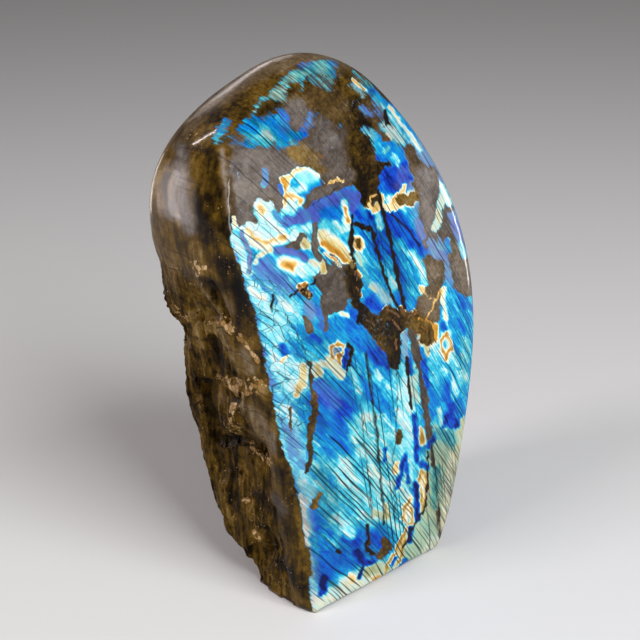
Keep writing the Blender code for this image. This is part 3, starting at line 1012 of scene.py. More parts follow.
# %% Upper left
UPPER_LEFT = {
    "patch gold left": ([(284, 178), (286, 188), (291, 195)], 4.2, 0.76),
    "patch gold top": ([(288, 177), (298, 171), (308, 170), (317, 176)], 3.2, 0.68),
    "patch": ([(298, 181), (308, 176), (313, 180)], 6.5, 0.53),
    "patch low": ([(292, 190), (304, 187)], 4.5, 0.55),
    "patch blue": ([(292, 179), (296, 184)], 2.5, 0.4),
    "patch blue left": ([(280, 186), (283, 196)], 2.4, 0.24, 0.0, 0.2),
    "second gold": ([(284, 206), (285, 198), (293, 196), (301, 199), (299, 206)], 2.6, 0.72),
    "second": ([(286, 209), (292, 206), (299, 210)], 5, 0.54),
    "second heart": ([(291, 200), (295, 201)], 1.6, 0.62),
    "second low": ([(283, 215), (297, 217)], 3.6, 0.52),
    "white top": ([(259, 204), (264, 212)], 5, 0.6),
    "white": ([(266, 211), (270, 222), (281, 228)], 9, 0.56),
    "white shade": ([(275, 213), (281, 223)], 2.6, 0.40, 0.0, 0.25),
    "white shade low": ([(254, 231), (262, 237)], 1.8, 0.40, 0.0, 0.3),
    "white shade right": ([(290, 232), (300, 229)], 1.6, 0.42, 0.0, 0.2),
    "white top gold": ([(260, 206), (262, 212)], 2.6, 0.7),
    "white low": ([(249, 226), (260, 234), (272, 236)], 5, 0.55),
    "white right": ([(284, 232), (296, 228), (308, 226)], 4, 0.51),
    "outer rim": ([(242, 229), (248, 241), (259, 247), (272, 244), (284, 240)], 3.6, 0.6),
    "gold rim": ([(247, 229), (254, 238), (264, 242), (276, 240)], 1.5, 0.72),
    "gold dot": ([(280, 237), (283, 238)], 2.8, 0.76),
    "violet under the patch": ([(287, 222), (300, 218)], 5, 0.2, 0.0, 0.3),
    "royal": ([(302, 216), (318, 214)], 7, 0.17, 0.0, 0.25),
    "royal wide": ([(318, 208), (335, 202), (347, 198)], 8, 0.19, 0.0, 0.2),
    "azure wide": ([(326, 214), (340, 212)], 7, 0.28),
    "slim white": ([(344, 203), (346, 214), (348, 228)], 4, 0.56),
    "slim gold": ([(345, 207), (347, 214), (349, 222)], 1.8, 0.78),
    "ice": ([(323, 224), (341, 229)], 5.5, 0.5, 0.2),
    "ice green": ([(322, 233), (332, 238)], 4, 0.6, 0.7),
    "gold wing": ([(325, 236), (333, 244), (346, 256)], 6.5, 0.67, 0.3),
    "gold wing light": ([(326, 233), (338, 240), (347, 250)], 2.2, 0.62, 0.1),
    "gold wing core": ([(323, 243), (330, 249), (337, 252)], 3, 0.78),
    "gold wing foot": ([(340, 254), (347, 261)], 2.2, 0.80),
    "gold tail": ([(346, 252), (350, 262), (353, 267)], 1.7, 0.66, 0.4),
    "gold line": ([(325, 254), (334, 259), (341, 266)], 1.2, 0.8),
    "ridge white": ([(236, 240), (243, 256), (247, 272)], 5.5, 0.56, 0.0, 0.1),
    "ridge low white": ([(251, 288), (257, 304)], 3.5, 0.55, 0.0, 0.1),
    "ridge cream": ([(233, 218), (235, 226)], 2.4, 0.66),
    "violet rim": ([(241, 232), (251, 254), (249, 272)], 1.6, 0.24, 0.0, 0.75),
    "island cream": ([(270, 250), (260, 256), (256, 264)], 2.6, 0.62, 0.3),
    "island violet": ([(264, 262), (272, 272), (284, 284)], 4.5, 0.27, 0.0, 0.25),
    "island streak": ([(255, 276), (266, 290), (276, 302)], 2.2, 0.30, 0.0, 0.2),
    "island top violet": ([(277, 250), (292, 254), (306, 258)], 4.2, 0.17, 0.0, 0.35),
    "gold sun white": ([(284, 263), (296, 266)], 8, 0.56),
    "gold sun": ([(285, 264), (294, 267)], 5, 0.70),
    "gold sun core": ([(287, 265), (292, 267)], 2.6, 0.80),
    "white by the sun": ([(302, 272), (314, 268)], 7, 0.51),
    "pale dot": ([(312, 262), (316, 264)], 4, 0.62, 0.3),
    "gold strip": ([(322, 262), (324, 273)], 2.6, 0.70, 0.4),
    "olive dot": ([(305, 243), (307, 246)], 4.2, 0.68, 0.5),
    "sky dot": ([(307, 250), (310, 256)], 2.6, 0.38),
    "glint": ([(264, 171), (266, 178), (263, 185)], 3.0, 0.36, 0.0, 0.5),
}
for stroke in UPPER_LEFT.values():
    flash(*stroke)
print("upper left flashes:", len(UPPER_LEFT))

# %% [markdown]
# ## The middle
#
# The middle is the widest field of ice blue, crossed by fine cracks. A gold loop, some royal blue
# flakes and a pale milky edge along the front ridge, which is a painted highlight of the rounded
# ridge, are what the eye finds in it.

# %% Middle
MIDDLE = {
    "blue spot": ([(283, 346), (286, 354)], 4, 0.18),
    "gold dash": ([(280, 361), (288, 357)], 1.5, 0.7),
    "blue right of tongue": ([(318, 310), (322, 326)], 3, 0.24, 0.0, 0.15),
    "blue under tongue": ([(312, 336), (318, 340)], 3.5, 0.16),
    "milky tongue": ([(308, 304), (311, 314)], 5, 0.30, 0.0, 0.45),
    "gold under diamond": ([(332, 318), (341, 315), (348, 315)], 3, 0.66),
    "azure steps": ([(336, 322), (350, 332), (362, 342)], 8, 0.32),
    "bud": ([(354, 312), (352, 320)], 4, 0.24),
    "gold left": ([(304, 367), (301, 384)], 4, 0.665, 0.35),
    "gold left low": ([(298, 386), (296, 396)], 3.0, 0.70, 0.3),
    "gold right": ([(317, 366), (319, 380)], 4.5, 0.66, 0.35),
    "gold field": ([(322, 361), (332, 364), (340, 373)], 6, 0.625, 0.4),
    "loop": ([(332, 357), (331, 348), (337, 343), (344, 347), (342, 360)], 2.2, 0.78),
    "loop heart": ([(336, 350), (337, 352)], 3, 0.3, 0.0, 0.8),
    "loop foot": ([(338, 356), (342, 363)], 3, 0.8),
    "navy drop": ([(347, 350), (344, 366)], 2.6, NAVY),
    "sky plate": ([(308, 345), (318, 355)], 8, 0.39),
    "lilac field": ([(320, 386), (334, 402)], 8, 0.27, 0.0, 0.12),
    "white flakes": ([(352, 372), (360, 390)], 5, 0.45),
    "royal flakes": ([(376, 354), (384, 366)], 5, 0.13),
    "cyan flakes": ([(380, 372), (388, 392)], 6, 0.45),
    # painted highlight: the veil in milky edge, edge sky, milky pale and ridge cream is the pale band
    # along the rounded front ridge
    "milky edge": ([(282, 420), (289, 440), (294, 462)], 4, 0.33, 0.0, 0.35),
    "edge sky": ([(296, 462), (302, 478)], 5, 0.44, 0.0, 0.25),
    "milky pale": ([(302, 484), (312, 493)], 6, 0.52, 0.2, 0.35),
    "ridge cream": ([(301, 495), (305, 520), (307, 545)], 2.2, 0.62, 0.0, 0.4),
}
for stroke in MIDDLE.values():
    flash(*stroke)
print("flashes in the middle:", len(MIDDLE))

# %% [markdown]
# ## The lower face and the foot
#
# Lower down the grain grows coarse, and small islands of gold lie along a bent seam that ends at the
# lower right corner, like beads on a chain. Right of the seam the stone is pale green.

# %% Lower face and foot
LOWER = {
    "white column": ([(400, 376), (402, 402)], 5, 0.5),
    "pale column": ([(412, 366), (416, 400)], 4.2, 0.55, 0.5),
    "royal column": ([(423, 362), (427, 385)], 3, 0.14),
    "blue column": ([(407, 352), (411, 372)], 3, 0.2),
    "ice right": ([(433, 355), (440, 375)], 6, 0.47),
    "royal star": ([(446, 420), (457, 424)], 5, 0.0),
    "star arm up": ([(450, 405), (452, 426)], 3, 0.15),
    "star arm down": ([(444, 428), (436, 434), (428, 446)], 2.4, 0.14),
    "cream by the star": ([(438, 409), (442, 424)], 2.2, 0.55, 0.3),
    "gold under the star": ([(440, 436), (445, 430)], 2, 0.66),
    "edge azure": ([(461, 300), (463, 332)], 5, 0.32),
    "edge teal": ([(466, 340), (464, 380)], 5, 0.45, 0.3),
    "edge royal": ([(458, 392), (460, 405)], 3, 0.3),
    "right streaks": ([(450, 352), (457, 375), (454, 396)], 4.5, 0.48),
    "edge green": ([(463, 420), (459, 450), (456, 482), (451, 510)], 3, 0.63, 0.6),
    "ring halo": ([(446, 334), (446, 356)], 5.5, 0.56),
    "ring": ([(446, 333), (451, 341), (451, 350), (446, 358),
              (442, 350), (441, 341), (446, 333)], 1.5, 0.79),
    "ring heart": ([(446, 343), (446, 348)], 1.6, 0.42),
    "royal dot": ([(443, 324), (444, 328)], 2.6, 0.2),
    "swirl foot": ([(425, 346), (428, 355)], 2.4, 0.66, 0.6),
    "pale under the burst": ([(404, 332), (405, 345), (406, 357)], 2.6, 0.42, 0.0, 0.6),
    "green gold by the drop": ([(370, 287), (375, 291)], 1.4, 0.66, 0.8),
    "gold bead": ([(421, 430), (422, 443)], 3, 0.72, 0.35),
    "gold bead core": ([(421, 434), (422, 441)], 1.4, 0.8, 0.2),
    "right loop cream": ([(423, 474), (424, 500)], 3, 0.62),
    "right loop": ([(421, 470), (426, 475), (427, 490), (424, 505),
                    (420, 512), (421, 495), (419, 480), (421, 470)], 1.3, 0.77, 0.3),
    "fan loop cream": ([(408, 504), (406, 516)], 3.5, 0.61),
    "fan loop": ([(410, 500), (405, 508), (402, 518), (408, 524), (413, 520), (411, 508)], 1.4, 0.77, 0.2),
    "chain bed": ([(412, 524), (405, 536), (400, 548), (392, 564)], 3.2, 0.66, 0.4),
    "chain left": ([(411, 524), (403, 535), (398, 546),
                    (393, 556), (387, 566), (387, 573)], 1.5, 0.79, 0.3),
    "chain right": ([(409, 530), (405, 542), (402, 556), (397, 567), (391, 573)], 1.5, 0.80, 0.3),
    "chain heart": ([(392, 565), (396, 557)], 1.8, 0.2),
    "blue under chain": ([(388, 577), (398, 569), (406, 560)], 2.4, 0.24),
    "gold at the foot": ([(374, 581), (378, 577)], 2.4, 0.76),
    "royal stripe": ([(414, 415), (416, 440), (417, 462)], 2.0, 0.12),
    "navy stripe": ([(416, 484), (418, 519)], 2.8, 0.0),
    "navy stripe foot": ([(411, 528), (409, 540)], 2.4, 0.0),
    "green cream": ([(452, 455), (447, 500), (440, 540)], 3.5, 0.62, 0.35),
    "green cream low": ([(433, 540), (424, 556)], 5, 0.61, 0.45),
    "green teal": ([(440, 434), (450, 440)], 6, 0.46, 0.6),
    "green deep": ([(436, 470), (434, 505)], 4, 0.42, 0.9),
    "royal bead": ([(423, 464), (428, 468)], 3, 0.12),
    "dash one": ([(385, 450), (384, 460)], 1.8, 0.12),
    "dash two": ([(405, 456), (401, 474)], 2.2, 0.08),
    "dash three": ([(399, 478), (397, 488)], 2.0, 0.06),
    "dash four": ([(407, 465), (408, 482)], 1.5, 0.08),
    "gold dash low": ([(397, 464), (396, 472)], 2.8, 0.7),
    "green mid": ([(375, 513), (387, 516)], 4, 0.62, 0.8),
    "olive mid": ([(386, 505), (387, 516)], 2.4, 0.7, 0.7),
    "star at the foot": ([(324, 578), (322, 592)], 4, 0.0),
    "foot navy": ([(356, 552), (364, 562), (374, 564)], 4, 0.0),
    "foot navy top": ([(345, 538), (358, 542)], 4, 0.12),
    "foot navy tail": ([(366, 562), (359, 578)], 1.8, 0.0),
    "foot green": ([(368, 572), (378, 566)], 5, 0.62, 0.8),
    "foot gold": ([(350, 575), (353, 579)], 2.6, 0.7),
    "azure low left": ([(325, 535), (333, 548)], 7, 0.3),
    "pale low left": ([(330, 542), (336, 546)], 3.5, 0.43),
    "ice low left": ([(338, 518), (350, 532)], 7, 0.52),
    "teal flake": ([(312, 540), (318, 552)], 4, 0.36, 0.2),
}
for stroke in LOWER.values():
    flash(*stroke)
print("flashes lower down:", len(LOWER))

# %% [markdown]
# ## Threads
#
# Threads of gold and rust run out of the brown burst on the right and through the plain stone around
# it. A plain flash stroke would show as a pale seam there, because its soft edge runs through all the
# blues. So a thread first brings the phase of a wider bed to its own colour, where the stone is still
# plain and the phase doesn't show, and then opens a thin line in the plain stone.

# %% Threads
THREADS = {
    "gold thread": ([(440, 292), (435, 302), (430, 312), (428, 318)], 0.9, 0.72),
    "gold thread left": ([(422, 288), (428, 297), (436, 300)], 0.7, 0.70),
    "gold ray": ([(400, 318), (391, 311), (386, 309)], 0.8, 0.89),
    "gold ray left": ([(396, 321), (386, 318), (380, 320)], 0.6, 0.90),
    "gold ray up": ([(404, 316), (400, 307)], 0.6, 0.89),
    "gold ray right": ([(408, 318), (416, 312), (423, 312)], 0.8, 0.87),
    "rust fleck": ([(395, 324), (399, 329)], 1.2, 0.91),
    "rust fleck right": ([(407, 323), (411, 321)], 1.2, 0.90),
    "rust foot": ([(396, 340), (397, 350)], 0.9, 0.87),
    "swirl": ([(419, 319), (427, 320), (434, 326), (435, 336)], 0.8, 0.76),
    "swirl inside": ([(421, 327), (427, 329), (429, 336)], 0.6, 0.84),
    "swirl core": ([(423, 333), (426, 338)], 0.7, 0.86),
    "column gold": ([(352, 264), (355, 272), (357, 279)], 0.7, 0.90),
    "column gold low": ([(357, 287), (359, 295)], 0.7, 0.90),
    "column loop": ([(371, 197), (376, 194), (381, 198), (380, 206),
                     (373, 210), (369, 204), (371, 197)], 1.1, 0.71),
    "column loop tail": ([(383, 207), (389, 210), (394, 207)], 1.2, 0.66),
    "sliver gold": ([(329, 184), (336, 181), (343, 180)], 1.3, 0.69),
    "crown gold": ([(316, 154), (324, 158)], 0.9, 0.88),
    "burst arm gold": ([(368, 320), (374, 325)], 0.8, 0.89),
    "pit gold": ([(299, 286), (305, 285)], 0.6, 0.82),
}
for stroke in THREADS.values():
    thread(*stroke)
print("threads:", len(THREADS))

# %% [markdown]
# ## Cracks and dark veins
#
# Some lines don't follow the grain. They are old fractures, a few filled with dark mineral. The
# strongest run from the notch down into the brown burst on the right, and on below it almost
# straight to the foot. Each has its places, its half width and how dark it is.

# %% Cracks and veins
VEINS = {
    "fan vein": ([(378, 191), (384, 215), (390, 240), (397, 275), (405, 308)], 2.2, 0.85),
    "fan vein left": ([(371, 228), (380, 262), (392, 296), (399, 310)], 1.8, 0.85),
    "fan line": ([(392, 214), (410, 232), (420, 246)], 1.6, 0.7),
    "fan edge": ([(352, 214), (352, 240), (351, 256)], 1.4, 0.85),
    "fan foot": ([(358, 224), (370, 227), (376, 236)], 1.8, 0.8),
    "sliver line": ([(309, 207), (325, 198), (338, 188)], 0.9, 0.7),
    "pit edge": ([(290, 296), (300, 290), (316, 281)], 1.3, 0.95),
    "long crack": ([(285, 313), (292, 325), (300, 340), (305, 352), (309, 366)], 1.0, 0.75),
    "short crack": ([(273, 295), (272, 305), (273, 313)], 1.4, 0.8),
    "cross crack": ([(256, 309), (266, 315), (278, 322)], 0.9, 0.6),
    "loop crack": ([(318, 361), (330, 357), (340, 351)], 0.9, 0.6),
    "bundle one": ([(366, 352), (370, 385), (376, 420), (380, 470), (384, 524)], 1.5, 0.7),
    "bundle two": ([(360, 398), (363, 430), (368, 470), (372, 520)], 1.2, 0.6),
    "bundle three": ([(371, 372), (373, 410), (377, 450)], 1.1, 0.55),
    "bundle four": ([(336, 480), (338, 520), (341, 560)], 1.1, 0.5),
    "bundle five": ([(397, 360), (397, 400), (396, 430), (393, 460), (395, 520)], 1.1, 0.6),
    "wedge line": ([(407, 358), (409, 388), (411, 408)], 1.8, 0.9),
    "seam": ([(428, 452), (428, 480), (426, 505), (418, 520), (411, 532), (403, 548)], 1.4, 0.75),
    "long vein edge": ([(432, 445), (436, 480), (439, 512), (441, 540)], 1.4, 0.6),
    "foot vein": ([(367, 524), (368, 538), (366, 550)], 1.6, 0.8),
    "foot vein tail": ([(364, 560), (358, 580)], 1.2, 0.6),
    "foot pit": ([(337, 551), (340, 552)], 2.0, 0.9),
    "right hook": ([(428, 325), (430, 340), (428, 352)], 1.2, 0.6),
    "grey edge": ([(259, 250), (252, 262), (250, 276)], 1.0, 0.6),
    "crown fleck": ([(385, 112), (387, 124)], 2.6, 0.75),
    "crown fleck low": ([(360, 114), (362, 118)], 3.0, 0.6),
    "burst core": ([(388, 322), (396, 330)], 3.0, 0.5),
}
wash("dark", VEINS, VEIN_SOFTNESS)
print("veins:", len(VEINS))

# %% [markdown]
# ## Shade and lines
#
# Some things aren't patches with an edge but come and go. A wash says where they are, and the
# material draws them there. The first wash is a shade that dulls the flash. Two more say where
# upright lines cross the grain, and where the lines of the grain itself lie close together.

# %% Shade and lines
WASH_SOFTNESS = 9.0

SHADES = {
    "crown": ([(255, 110), (285, 85), (335, 72)], 20, 0.75),
    "crown blues": ([(235, 138), (290, 135)], 14, 0.6),
    "crown rim": ([(365, 88), (385, 112), (400, 135)], 10, 0.5),
    "along the low ridge": ([(296, 480), (308, 530), (318, 580)], 8, 0.55),
    "teal": ([(322, 478), (328, 520)], 13, 0.6),
    "under the burst": ([(372, 345), (380, 362), (398, 372)], 10, 0.45),
    "foot": ([(340, 556), (366, 548), (384, 536)], 12, 0.4),
    "notch": ([(370, 190), (378, 215), (384, 240)], 8, 0.5),
    "right of the vein": ([(440, 440), (446, 480), (442, 530)], 12, 0.7),
    "fan": ([(385, 235), (402, 285)], 14, 0.4),
    "royal": ([(310, 214), (345, 200)], 9, 0.35),
    "middle": ([(315, 345), (345, 385)], 22, 0.4),
    "left streaks": ([(300, 400), (318, 430)], 12, 0.45),
}
UPRIGHT_LINES = {
    "bundle": ([(372, 372), (376, 420), (382, 470), (386, 525)], 22, 1.0),
    "white column": ([(405, 380), (408, 430), (405, 480)], 14, 0.8),
    "right foot": ([(440, 440), (442, 500), (438, 540)], 16, 0.8),
    "fan": ([(380, 230), (395, 280)], 16, 0.6),
}
DENSE_LINES = {
    "lower face": ([(345, 450), (370, 490), (396, 530)], 36, 1.0),
    "lower left": ([(325, 470), (340, 540)], 18, 0.85),
    "foot": ([(322, 600), (350, 585), (380, 570)], 18, 0.95),
    "right foot": ([(445, 440), (442, 490), (436, 540)], 18, 0.9),
    "right edge": ([(462, 290), (463, 340), (458, 410)], 12, 0.8),
    "sky": ([(320, 370), (345, 400)], 24, 0.5),
    "fan": ([(375, 240), (400, 290)], 20, 0.5),
    "upper middle": ([(262, 262), (282, 300)], 16, 0.4),
    "royal": ([(300, 214), (340, 206)], 12, 0.35),
    "crown cyan": ([(250, 135), (290, 138)], 12, 0.5),
    "haze": ([(430, 170), (440, 230), (455, 262)], 18, 0.9),
}
for mark, strokes in (("shade", SHADES), ("upright", UPRIGHT_LINES), ("lined", DENSE_LINES)):
    wash(mark, strokes, WASH_SOFTNESS)
    print("strokes in the wash", mark, len(strokes))

# %% [markdown]
# ## Crackle, flecks and pale crystals
#
# In places the flashing layer is crackled like old glaze, and some of the plain stone is sprinkled
# with tiny blue and pale flecks. Along the ledges of the broken side sit small pale crystals, whose
# strokes have a much crisper edge.

# %% Crackle, flecks and crystals
CRYSTAL_SOFTNESS = 1.6

CRACKLES = {
    "middle": ([(262, 300), (280, 350), (292, 410)], 26, 1.0),
    "white": ([(260, 222), (285, 224)], 18, 0.8),
    "right": ([(330, 235), (336, 222)], 12, 0.6),
}
FLECKED = {
    "taupe": ([(240, 165), (262, 175), (250, 200)], 18, 0.8),
    "tan": ([(300, 150), (345, 158)], 14, 0.5),
    "crown grey": ([(297, 111), (325, 130)], 16, 0.7),
    "haze": ([(425, 178), (428, 240)], 10, 0.8),
    "burst arm": ([(370, 322), (384, 340)], 10, 0.6),
    "right of the burst": ([(425, 300), (440, 280), (462, 270)], 12, 0.7),
    "diamond edge": ([(316, 275), (322, 300)], 6, 0.5),
    "brown crown": ([(340, 85), (360, 120)], 12, 0.4),
}
PALE_CRYSTALS = {
    "upper specks": ([(193, 265), (202, 268), (198, 276)], 4.0, 0.85),
    "upper specks low": ([(188, 284), (196, 286)], 2.4, 0.6),
    "ledge rim": ([(206, 325), (222, 321), (234, 330), (246, 346), (258, 362)], 2.4, 0.85),
    "ledge block": ([(228, 328), (234, 331)], 3.0, 0.8),
    "left ledge": ([(172, 310), (178, 318), (184, 322)], 2.4, 0.6),
    "peach left": ([(224, 384), (234, 392)], 6.0, 0.95),
    "peach middle": ([(236, 382), (248, 390)], 5.0, 0.9),
    "peach right": ([(253, 381), (260, 387)], 5.5, 1.0),
    "blocks": ([(231, 407), (230, 416)], 5.5, 0.9),
    "blocks low": ([(227, 424), (233, 432)], 6.0, 0.75),
    "low ledge": ([(246, 449), (254, 452), (261, 457)], 3.2, 1.0),
    "low ledge end": ([(264, 460), (270, 463)], 2.6, 0.85),
    "specks": ([(203, 378), (218, 380)], 2.8, 0.75),
    "edge specks": ([(236, 500), (246, 504)], 2.2, 0.6),
    "foot specks": ([(252, 533), (256, 540)], 2.4, 0.6),
    "pit": ([(300, 289), (305, 287), (310, 294)], 3.4, 1.0),
}
wash("crackle", CRACKLES, WASH_SOFTNESS)
wash("flecked", FLECKED, WASH_SOFTNESS)
wash("pale", PALE_CRYSTALS, CRYSTAL_SOFTNESS)
print("crackled, flecked and crystal strokes:", len(CRACKLES), len(FLECKED), len(PALE_CRYSTALS))

# %% [markdown]
# ## The sides that the camera doesn't see
#
# The right side and the back of the crown are polished too, so the flash goes on there. No stroke
# reaches them, and slow noises decide instead where the stone flashes and in what colour. Faces that
# look back, down or left stay plain, because the wheel hardly reached them.

# %% Out of sight
FAR_FIELD_MM = 34.0
FAR_PATCH_MM = 21.0
FAR_PHASE = 0.33
FAR_TONE = 0.38
FAR_SWING = 0.35
FAR_PATCH_EDGE = (-0.12, 0.16)
FAR_WARMTH_EDGE = (-0.2, 0.2)
PLAIN_ABOVE_MM = 120.0
PLAINER_PER_MM = 0.003
BACK_FACING = (0.35, 0.75)
DOWN_FACING = (0.3, 0.6)
LEFT_FACING = (0.1, 0.4)

higher_up = PLAINER_PER_MM * (points[:, 2] - PLAIN_ABOVE_MM)
far_plain = soft_step(*FAR_PATCH_EDGE, wander(points, FAR_PATCH_MM, 5) + higher_up)
for facing_edge, away in ((BACK_FACING, normals[:, 1]), (DOWN_FACING, -normals[:, 2]),
                          (LEFT_FACING, -normals[:, 0])):
    far_plain = np.maximum(far_plain, soft_step(*facing_edge, away))
far_marks = {
    "phase": FAR_PHASE + FAR_SWING * wander(points, FAR_FIELD_MM, 4),
    "plain": far_plain,
    "tone": FAR_TONE + FAR_SWING * wander(points, FAR_PATCH_MM, 6),
    "warm": soft_step(*FAR_WARMTH_EDGE, wander(points, FAR_PATCH_MM, 8)),
}
for mark, values in far_marks.items():
    marks[mark] += (np.clip(values, 0.0, 1.0) - marks[mark]) * (1.0 - reached)
print("far marks:", list(far_marks))

# %% [markdown]
# The broken skin never flashes, and neither does the polished stone left of the front ridge, below
# the crown. That polished strip is glassy: one sees a little way into it.

# %% Plain for good
PLAIN_WHERE_BROKEN = (0.15, 0.5)
PLAIN_BESIDE_RIDGE = (-4.0, 3.0)
BELOW_THE_CROWN = (205.0, 225.0)
GLASSY_BESIDE_RIDGE = (-6.0, 2.0)

left_of_ridge = 1.0 - soft_step(*PLAIN_BESIDE_RIDGE, right_of_ridge)
left_of_ridge *= soft_step(*BELOW_THE_CROWN, picture_y) * reached
for never_flashes in (soft_step(*PLAIN_WHERE_BROKEN, broken), left_of_ridge):
    marks["plain"] = np.maximum(marks["plain"], never_flashes)
glassy = 1.0 - soft_step(*GLASSY_BESIDE_RIDGE, right_of_ridge)
marks["glassy"] = glassy * reached * (1.0 - broken)
marks["broken"] = broken
print("plain share:", round(float((marks["plain"] > 0.5).mean()), 2))

# %% [markdown]
# ## Handing the marks to the material
#
# Attributes are how a mesh hands numbers to its material: one number for each point, which Blender
# blends across the faces between. The material can then sharpen their edges and break them up.

# %% Attributes
def give_attribute(piece, name, values):
    """Keeps a number, or a direction, for every point."""
    kind, field = ("FLOAT", "value") if values.ndim == 1 else ("FLOAT_VECTOR", "vector")
    attribute = piece.data.attributes.new(name, kind, "POINT")
    attribute.data.foreach_set(field, values.astype(np.float32).ravel())


for name, values in marks.items():
    give_attribute(stone, name, values)
give_attribute(stone, "grain", grain)
print("attributes:", sorted(marks) + ["grain"])

# %% [markdown]
# ## The material
#
# The material is built from a few small helpers, so that it reads like a recipe. Fine lines and
# streaks come from noise on the grain. The flash colour is a ramp over the phase, and the plain
# colour is a ramp over the tone. Last, both go into one Principled BSDF with a clear polish on top.

# %% Helpers for arithmetic
material = bpy.data.materials.new("labradorite")
material.use_nodes = True
nodes = material.node_tree.nodes
links = material.node_tree.links
surface = nodes["Principled BSDF"]


def feed(socket, value):
    """Sets an input to a number, or links another node's output to it."""
    if isinstance(value, bpy.types.NodeSocket):
        links.new(value, socket)
    else:
        socket.default_value = value


def calc(operation, a, b=0.0, c=0.0):
    """One step of arithmetic."""
    step = nodes.new("ShaderNodeMath")
    step.operation = operation
    for socket, value in zip(step.inputs, (a, b, c)):
        feed(socket, value)
    return step.outputs[0]


def spread(value, low, high, to_low=0.0, to_high=1.0):
    """Maps low..high to to_low..to_high with soft ends."""
    span = nodes.new("ShaderNodeMapRange")
    span.interpolation_type = "SMOOTHSTEP"
    for name, number in (("Value", value), ("From Min", low), ("From Max", high),
                         ("To Min", to_low), ("To Max", to_high)):
        feed(span.inputs[name], number)
    return span.outputs[0]


def swing(noise_value, amount):
    """Turns noise from 0 to 1 into a push of up to half the amount either way."""
    return calc("MULTIPLY", calc("SUBTRACT", noise_value, 0.5), amount)


print("arithmetic helpers ready")

# %% [markdown]
# The marks on the mesh are read through Attribute nodes, once each. The noise and the cells take a
# place that can be drawn out along any axis, which turns round lumps into streaks and splinters.

# %% Helpers for places and noise
def attribute(name, output="Fac"):
    """A mark that was kept on the mesh."""
    source = nodes.new("ShaderNodeAttribute")
    source.attribute_name = name
    return source.outputs[output]


def stretched(vector, shares):
    """A position multiplied along each axis."""
    scale = nodes.new("ShaderNodeVectorMath")
    scale.operation = "MULTIPLY"
    feed(scale.inputs[0], vector)
    scale.inputs[1].default_value = shares
    return scale.outputs[0]


def noise_at(vector, scale=1.0, detail=2.0, roughness=0.5, distortion=0.0, output="Fac"):
    """Noise from 0 to 1, or three noises in one colour."""
    cloud = nodes.new("ShaderNodeTexNoise")
    feed(cloud.inputs["Vector"], vector)
    cloud.inputs["Scale"].default_value = scale
    cloud.inputs["Detail"].default_value = detail
    cloud.inputs["Roughness"].default_value = roughness
    cloud.inputs["Distortion"].default_value = distortion
    return cloud.outputs[output]


def cells_at(vector, scale=1.0, feature="F1", output="Color"):
    """A random number for each cell that space is split into, or the distance to a cell's edge."""
    cells = nodes.new("ShaderNodeTexVoronoi")
    cells.feature = feature
    feed(cells.inputs["Vector"], vector)
    cells.inputs["Scale"].default_value = scale
    return cells.outputs[output]


painted = {name: attribute(name) for name in marks}
print("marks that the material reads:", len(painted))

# %% [markdown]
# ## Streaks along the grain
#
# The sheets aren't quite flat, so the lines of the grain are bent a little by a slow noise first. Two
# noises are then drawn out along the grain: broad streaks, and narrow ones between them.

# %% Streaks
BEND_SCALE = 55.0
BEND_MM = (2.2, 0.0, 0.0)
BROAD_STREAKS = (0.28, 0.045, 0.1)
NARROW_STREAKS = (1.1, 0.07, 0.1)

place = nodes.new("ShaderNodeTexCoord").outputs["Object"]
bent = nodes.new("ShaderNodeVectorMath")
bent.operation = "MULTIPLY_ADD"
feed(bent.inputs[0], noise_at(place, scale=BEND_SCALE, detail=1.0, output="Color"))
bent.inputs[1].default_value = BEND_MM
feed(bent.inputs[2], attribute("grain", "Vector"))
grain_bent = bent.outputs[0]
broad_streaks = noise_at(stretched(grain_bent, BROAD_STREAKS), detail=2.0)
narrow_streaks = noise_at(stretched(grain_bent, NARROW_STREAKS), detail=2.0, roughness=0.6)
print("streaks ready, nodes:", len(nodes))

# %% [markdown]
# ## Thin dark lines
#
# The edges of the sheets show as thin dark lines, straight and nearly even, like the teeth of a comb.
# A distance across the grain is cut into equal steps, and a line is drawn in the middle of each. One
# noise bends the lines a little, and another makes them come and go. Three such combs follow the
# grain: main lines, fine lines, and dense ones that show most where their wash lies. A fourth one
# crosses them upright, where the stone has a second set of sheets.

# %% Thin dark lines
COMBS = {
    # name: spacing, length and width in mm, and the noise that starts a line and makes it widest
    "main": (2.6, 30.0, 0.38, 0.48, 0.68),
    "fine": (1.15, 16.0, 0.26, 0.46, 0.66),
    "dense": (1.65, 20.0, 0.62, 0.40, 0.70),
    "upright": (2.1, 34.0, 0.60, 0.42, 0.64),
}
MAIN_STRENGTH = 0.95
FINE_STRENGTH = 0.6
UPRIGHT_LEAN = math.radians(4.0)
SHARPEST = 0.002


def comb_lines(where, spacing, length, width, there_from, there_to):
    """Thin lines across the first axis of a place in mm, which come and go with a noise."""
    first_axis = nodes.new("ShaderNodeSeparateXYZ")
    feed(first_axis.inputs[0], where)
    bend = noise_at(stretched(where, (0.35 / spacing, 0.5 / length, 0.5 / length)), detail=1.0)
    tooth = calc("ADD", calc("DIVIDE", first_axis.outputs[0], spacing), calc("MULTIPLY", bend, 2.0))
    from_line = calc("ABSOLUTE", calc("SUBTRACT", calc("FRACT", tooth), 0.5))
    there = noise_at(stretched(where, (0.8 / spacing, 1.0 / length, 1.0 / length)), detail=1.0)
    thickness = spread(there, there_from, there_to)
    half_width = calc("MULTIPLY", thickness, 0.5 * width / spacing)
    outside = calc("ADD", calc("MULTIPLY", half_width, 1.5), SHARPEST)
    inside = calc("MULTIPLY", half_width, 0.5)
    return calc("MULTIPLY", spread(from_line, outside, inside), spread(thickness, 0.05, 0.3))


